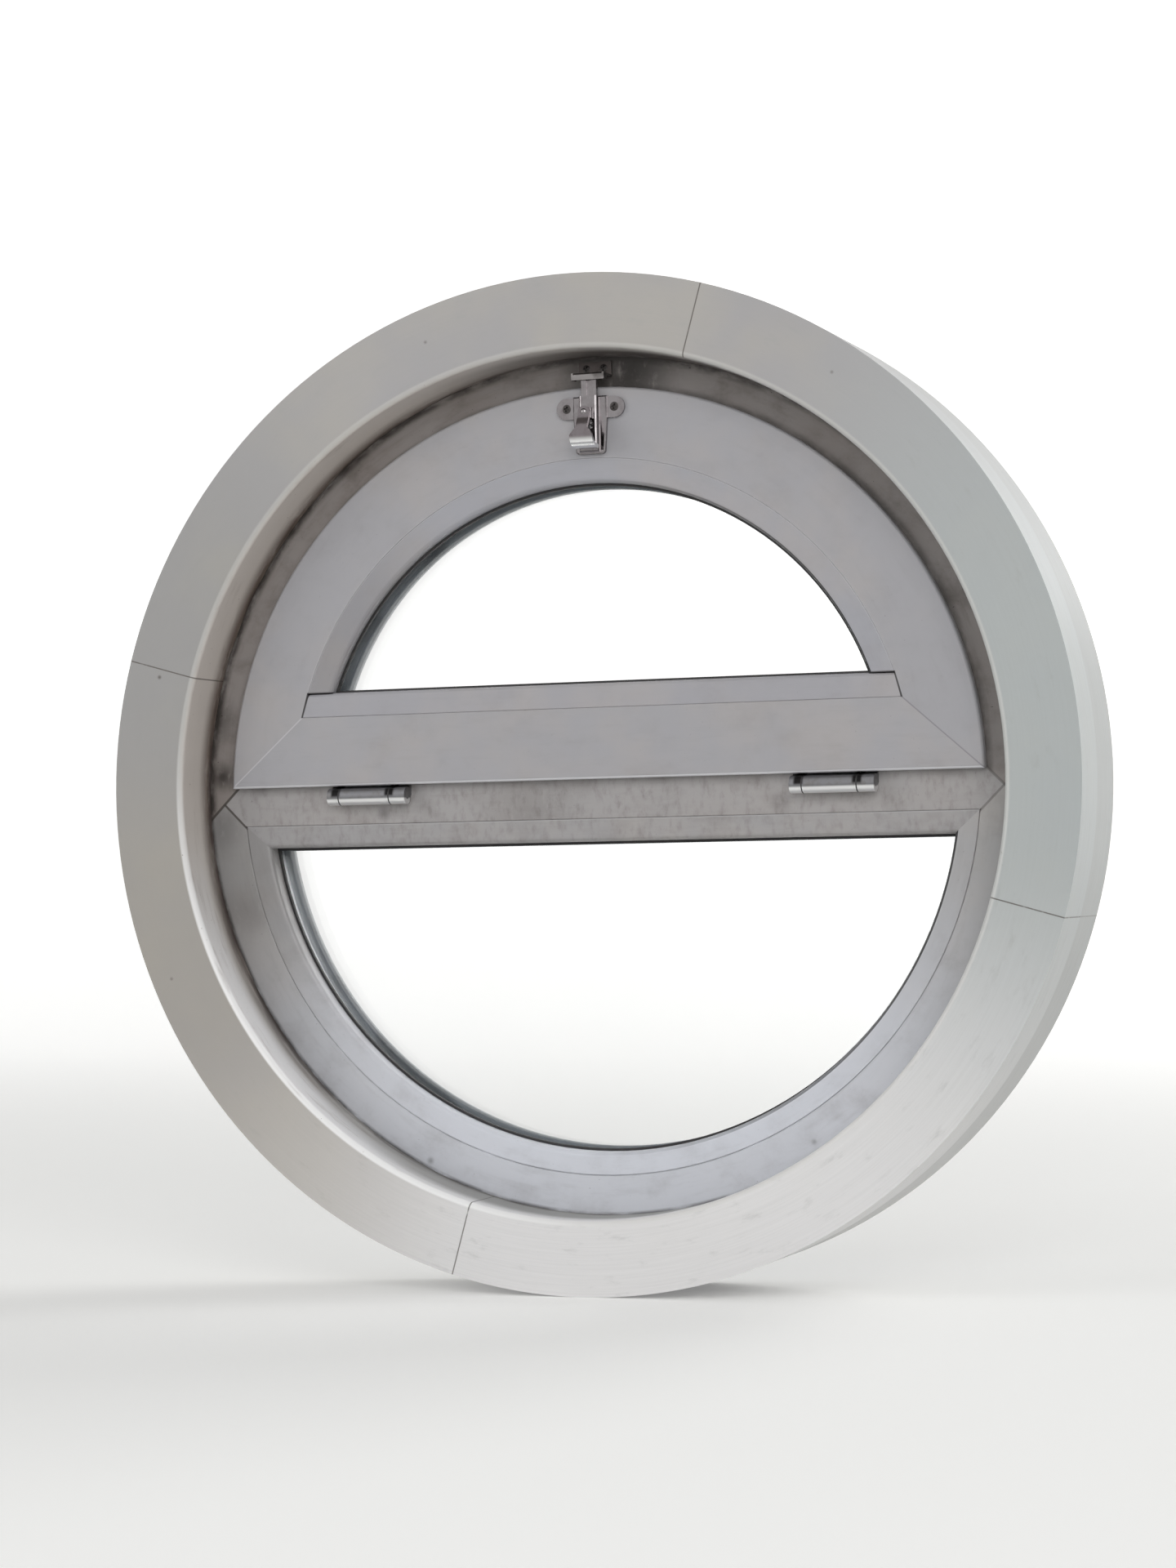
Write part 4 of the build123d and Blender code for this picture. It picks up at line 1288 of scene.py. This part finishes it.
@dataclass
class CrossScrews:
    """A pair of countersunk screws with a cross recess in each head.

    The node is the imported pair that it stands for. Recess and slot are the cross's reach and its
    width, as shares of the head. The crown's steps are insets, as shares of the head, and rises.
    """

    name: str
    node: str
    body: str
    head_r: float
    shank_r: float
    rim: float = 0.4
    point_r: float = 0.3
    crown_steps: tuple[tuple[float, float], ...] = ((0.12, 0.15), (0.3, 0.12))
    recess_share: float = 0.62
    slot_share: float = 0.2
    recess_depth: float = 1.6
    recess_turn: float = 0.25
    segments: int = 48

    def centres(self) -> list[Vector]:
        """Where the two heads lie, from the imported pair's box.

        Returns:
            The middles of the heads' faces, in millimetres.
        """
        low, high = corners(self.node)
        height = (low.z + high.z) / 2
        return [Vector((x, low.y, height)) for x in (low.x + self.head_r, high.x - self.head_r)]

    def blank(self, length: float) -> bpy.types.Object:
        """A screw without its recess, along +Y, with the head's face at the origin.

        Args:
            length: Its length, in millimetres.

        Returns:
            The screw.
        """
        deselect()
        bpy.ops.mesh.primitive_cylinder_add(
            vertices=self.segments, radius=self.head_r * MM, depth=self.rim * MM,
            end_fill_type="NGON", rotation=(math.pi / 2, 0, 0),
            location=(0, self.rim / 2 * MM, 0))
        screw = bpy.context.object
        bpy.ops.object.transform_apply(location=True, rotation=True, scale=True)
        cone = self.head_r - self.shank_r
        point = 2 * self.shank_r
        shank = length - cone - self.shank_r - point
        self.draw_out(screw, ((cone - self.rim / 2, self.shank_r), (shank, self.shank_r),
                              (point, self.point_r)))
        self.crown(screw)
        return screw

    def draw_out(self, screw: bpy.types.Object, steps: tuple[tuple[float, float], ...]) -> None:
        """Extrude the back face in steps: head cone, shank and point.

        Args:
            screw: The screw's disc.
            steps: For each step its length and its end radius.
        """
        radius = self.head_r
        bpy.ops.object.mode_set(mode="EDIT")
        bpy.ops.mesh.select_mode(type="FACE")
        self.pick_face(screw, Vector((0, 1, 0)))
        for length, end in steps:
            bpy.ops.mesh.extrude_region_move(TRANSFORM_OT_translate={"value": (0, length * MM, 0)})
            share = end / radius
            bpy.ops.transform.resize(value=(share, 1, share))
            radius = end
        bpy.ops.object.mode_set(mode="OBJECT")

    def crown(self, screw: bpy.types.Object) -> None:
        """Inset the head's face and pull it out in steps, for a slightly raised crown.

        Args:
            screw: The screw.
        """
        bpy.ops.object.mode_set(mode="EDIT")
        self.pick_face(screw, Vector((0, -1, 0)))
        for share, rise in self.crown_steps:
            bpy.ops.mesh.inset(thickness=self.head_r * share * MM)
            bpy.ops.transform.translate(value=(0, -rise * MM, 0))
        bpy.ops.object.mode_set(mode="OBJECT")

    @staticmethod
    def pick_face(piece: bpy.types.Object, normal: Vector) -> None:
        """Select the face with the most corners that faces one way.

        Args:
            piece: The piece, in edit mode.
            normal: The way the face looks.
        """
        bpy.ops.mesh.select_all(action="DESELECT")
        bpy.ops.object.mode_set(mode="OBJECT")
        faces = [f for f in piece.data.polygons if f.normal.dot(normal) > SAME_WAY]
        max(faces, key=lambda f: len(f.vertices)).select = True
        bpy.ops.object.mode_set(mode="EDIT")

    def cutter(self) -> bpy.types.Object:
        """A cross of two blades, for the recess.

        Returns:
            The cross.
        """
        deselect()
        blades = []
        for angle in (self.recess_turn, self.recess_turn + math.pi / 2):
            bpy.ops.mesh.primitive_cube_add(size=1.0)
            blade = bpy.context.object
            blade.scale = (2 * self.head_r * self.recess_share * MM, 2 * self.recess_depth * MM,
                           2 * self.head_r * self.slot_share * MM)
            blade.rotation_euler = (0, angle, 0)
            blades.insert(0, blade)
        select(*blades)
        bpy.ops.object.join()
        cross = bpy.context.object
        bpy.ops.object.transform_apply(location=True, rotation=True, scale=True)
        bpy.ops.object.mode_set(mode="EDIT")
        bpy.ops.mesh.select_all(action="SELECT")
        bpy.ops.mesh.normals_make_consistent(inside=False)
        bpy.ops.object.mode_set(mode="OBJECT")
        return cross

    def cut_recess(self, screw: bpy.types.Object) -> None:
        """Cut the cross into the head.

        Args:
            screw: The screw.
        """
        cross = self.cutter()
        cut = screw.modifiers.new("recess", "BOOLEAN")
        cut.operation = "DIFFERENCE"
        cut.solver = "EXACT"
        cut.use_self = True
        cut.object = cross
        select(screw)
        bpy.ops.object.modifier_apply(modifier=cut.name)
        bpy.data.objects.remove(cross, do_unlink=True)

    def build(self, finish: MetalFinish, slot: str) -> None:
        """Model one screw, copy it to both places and hand the pair over.

        Args:
            finish: The screws' finish.
            slot: The record's slot of that finish.
        """
        low, high = corners(self.node)
        screw = self.blank(high.y - low.y)
        self.cut_recess(screw)
        pair = []
        for place in self.centres():
            copy = bpy.data.objects.new(self.name, screw.data.copy())
            bpy.context.collection.objects.link(copy)
            copy.data.transform(Matrix.Translation(place * MM))
            pair.append(copy)
        bpy.data.objects.remove(screw, do_unlink=True)
        select(*pair)
        bpy.ops.object.join()
        settle(bpy.context.object, made(finish), self.name, self.body, slot, self.node)


@dataclass
class Catch:
    """The sprung catch on the sash and its keeper on the frame.

    The pull has a painted highlight along its lip. Foot_highlight_line says where, from the
    pull's foot.
    """

    pull: MetalFinish = replace(CHROME, name="steel_pull_chrome_plated", colour="#7b7577",
                                foot_highlight_colour="#ffffff")
    keeper: MetalFinish = replace(SATIN_NICKEL, name="steel_keeper_soiled", colour="#8d8988",
                                  tarnish="#332e2c", spots=spots_of(14.0), tarnish_share=0.6,
                                  back_colour="#4b4543")
    screws: tuple[CrossScrews, ...] = (
        CrossScrews("catch_cross_screws", "catch_screws", "sash", head_r=3.6, shank_r=1.9),
        CrossScrews("keeper_cross_screws", "keeper_screws", "frame", head_r=3.2, shank_r=1.7))
    screw_slot: str = "zinc_steel"
    foot_highlight_line: Fade = Fade(9.0, 4.0)

    def dress(self) -> None:
        """Give the catch and the keeper their finishes and model their screws."""
        foot = corners("catch_pull")[0].z
        dress(CHROME, "catch_body", "catch_bolt", "catch_rivet")
        dress(replace(self.pull, foot=self.foot_highlight_line.at(foot)), "catch_pull")
        dress(ZINC, "catch_spring")
        dress(replace(self.keeper, back_depth=corners("keeper")[1].y), "keeper")
        for pair in self.screws:
            pair.build(BLACKENED, self.screw_slot)


@dataclass(frozen=True)
class Lamp:
    """A square soft lamp: its place and side in metres, and its power in watts."""

    name: str
    place: tuple[float, float, float]
    power: float
    side: float = 3.2


@dataclass
class Studio:
    """A pale floor and backdrop, soft lamps and the camera, in metres.

    The paper glows a little by itself, from glow[0] at glow_reach[0] from the window to glow[1] at
    glow_reach[1]. Surround is how strongly the world lights the window.
    """

    floor_colour: str = "#e9e9e7"
    reach: float = 14.0
    back: float = 6.0
    cove_r: float = 2.5
    cove_segments: int = 24
    glow: tuple[float, float] = (0.2, 0.62)
    glow_reach: tuple[float, float] = (1.2, 6.5)
    surround: float = 0.36
    lamp_strength: float = 0.9
    lamps: tuple[Lamp, ...] = (Lamp("lamp_key", (2.2, -4.6, 2.0), 118.0),
                               Lamp("lamp_fill", (-4.6, -3.4, 1.8), 84.0),
                               Lamp("lamp_outdoors", (3.0, 4.0, 2.9), 150.0))
    camera_place: tuple[float, float, float] = (0.921, -2.547, -0.078)
    aim: tuple[float, float, float] = (0.0, 0.03, 0.0)
    lens_px: float = 4250.0
    picture_px: tuple[int, int] = (1440, 1920)
    roll_deg: float = -1.02
    sensor_mm: float = 36.0

    def pale_material(self) -> bpy.types.Material:
        """Matt pale paper that the camera, mirrors and glass see as white where it is lit.

        Returns:
            The material.
        """
        material, tree = new_material("studio_paper_matt")
        diffuse = add_node(tree, "ShaderNodeBsdfDiffuse", {"Color": linear(self.floor_colour)})
        coords = add_node(tree, "ShaderNodeTexCoord").outputs["Object"]
        away = add_node(tree, "ShaderNodeVectorMath", {0: coords}, operation="LENGTH")
        strength = add_node(tree, "ShaderNodeMapRange",
                            {"Value": away.outputs["Value"], "From Min": self.glow_reach[0],
                             "From Max": self.glow_reach[1], "To Min": self.glow[0],
                             "To Max": self.glow[1]}, interpolation_type="SMOOTHSTEP")
        glow = add_node(tree, "ShaderNodeEmission",
                        {"Color": linear("#ffffff"), "Strength": strength.outputs[0]})
        both = add_node(tree, "ShaderNodeAddShader", {0: diffuse.outputs[0], 1: glow.outputs[0]})
        mix = add_node(tree, "ShaderNodeMixShader",
                       {0: self.seen_directly(tree), 1: diffuse.outputs[0], 2: both.outputs[0]})
        add_node(tree, "ShaderNodeOutputMaterial", {"Surface": mix.outputs[0]})
        return material

    @staticmethod
    def seen_directly(tree: Tree) -> Socket:
        """Tell rays from the camera, off a mirror or through glass from the others.

        Args:
            tree: The tree of a material or a world.

        Returns:
            1 for such rays, else 0.
        """
        path = add_node(tree, "ShaderNodeLightPath").outputs
        mirror = add_node(tree, "ShaderNodeMath",
                          {0: path["Is Camera Ray"], 1: path["Is Glossy Ray"]},
                          operation="MAXIMUM")
        return add_node(tree, "ShaderNodeMath",
                        {0: mirror.outputs[0], 1: path["Is Transmission Ray"]},
                        operation="MAXIMUM").outputs[0]

    def pick_back_edge(self, paper: bpy.types.Object, level: float) -> None:
        """Select the edge where the floor meets the backdrop, and stay in edit mode.

        Args:
            paper: The floor.
            level: Its height.
        """
        bpy.ops.object.mode_set(mode="OBJECT")
        points = paper.data.vertices
        for edge in paper.data.edges:
            edge.select = all(abs(points[v].co.y - self.back) < SAME_PLACE
                              and abs(points[v].co.z - level) < SAME_PLACE
                              for v in edge.vertices)
        bpy.ops.object.mode_set(mode="EDIT")

    def floor(self) -> None:
        """Model the floor under the rim, curved up behind into the backdrop."""
        deselect()
        level = CAD_BOX[0][2]
        bpy.ops.mesh.primitive_plane_add(size=2 * self.reach,
                                         location=(0, self.back - self.reach, level))
        paper = bpy.context.object
        bpy.ops.object.transform_apply(location=True, rotation=True, scale=True)
        bpy.ops.object.mode_set(mode="EDIT")
        bpy.ops.mesh.select_mode(type="EDGE")
        bpy.ops.mesh.select_all(action="DESELECT")
        self.pick_back_edge(paper, level)
        bpy.ops.mesh.extrude_region_move(TRANSFORM_OT_translate={"value": (0, 0, self.reach)})
        self.pick_back_edge(paper, level)
        bpy.ops.mesh.bevel(offset=self.cove_r, segments=self.cove_segments, affect="EDGES")
        bpy.ops.object.mode_set(mode="OBJECT")
        bpy.ops.object.shade_smooth()
        paper.name = "studio_paper"
        paper.data.materials.append(self.pale_material())

    def world(self) -> None:
        """A white surround for the eye, and an even soft light on the object."""
        world = bpy.data.worlds.new("studio_surround")
        bpy.context.scene.world = world
        world.use_nodes = True
        tree = world.node_tree
        tree.nodes.clear()
        strength = add_node(tree, "ShaderNodeMapRange",
                            {"Value": self.seen_directly(tree), "To Min": self.surround,
                             "To Max": 1.0})
        sky = add_node(tree, "ShaderNodeBackground",
                       {"Color": linear("#ffffff"), "Strength": strength.outputs[0]})
        add_node(tree, "ShaderNodeOutputWorld", {"Surface": sky.outputs[0]})

    def light(self) -> None:
        """Set the soft lamps, each aimed at the window's centre."""
        for lamp in self.lamps:
            source = bpy.data.lights.new(lamp.name, "AREA")
            source.size = lamp.side
            source.energy = lamp.power * self.lamp_strength
            holder = bpy.data.objects.new(lamp.name, source)
            holder.location = lamp.place
            holder.rotation_euler = (-Vector(lamp.place)).to_track_quat("-Z", "Y").to_euler()
            holder.visible_camera = False
            bpy.context.collection.objects.link(holder)

    def camera(self) -> None:
        """Stand the camera where the photograph was taken, on a longer lens."""
        lens = bpy.data.cameras.new("camera")
        lens.sensor_fit = "HORIZONTAL"
        lens.sensor_width = self.sensor_mm
        lens.lens = self.lens_px / self.picture_px[0] * self.sensor_mm
        holder = bpy.data.objects.new("camera", lens)
        place = Vector(self.camera_place)
        look = (Vector(self.aim) - place).to_track_quat("-Z", "Y").to_matrix().to_4x4()
        roll = Matrix.Rotation(math.radians(self.roll_deg), 4, "Z")
        holder.matrix_world = Matrix.Translation(place) @ look @ roll
        bpy.context.collection.objects.link(holder)
        bpy.context.scene.camera = holder

    def build(self) -> None:
        """Set up the studio."""
        self.floor()
        self.world()
        self.light()
        self.camera()
        bpy.context.scene.view_settings.view_transform = "Standard"


def main() -> None:
    """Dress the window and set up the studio."""
    logging.basicConfig(level=logging.INFO)
    for part in (TimberRing(), WindowFrame(), LowerLight(), Sash(), Hinges(), Catch()):
        part.dress()
        LOG.info("%s done", type(part).__name__)
    Studio().build()


if __name__ == "__main__":
    main()
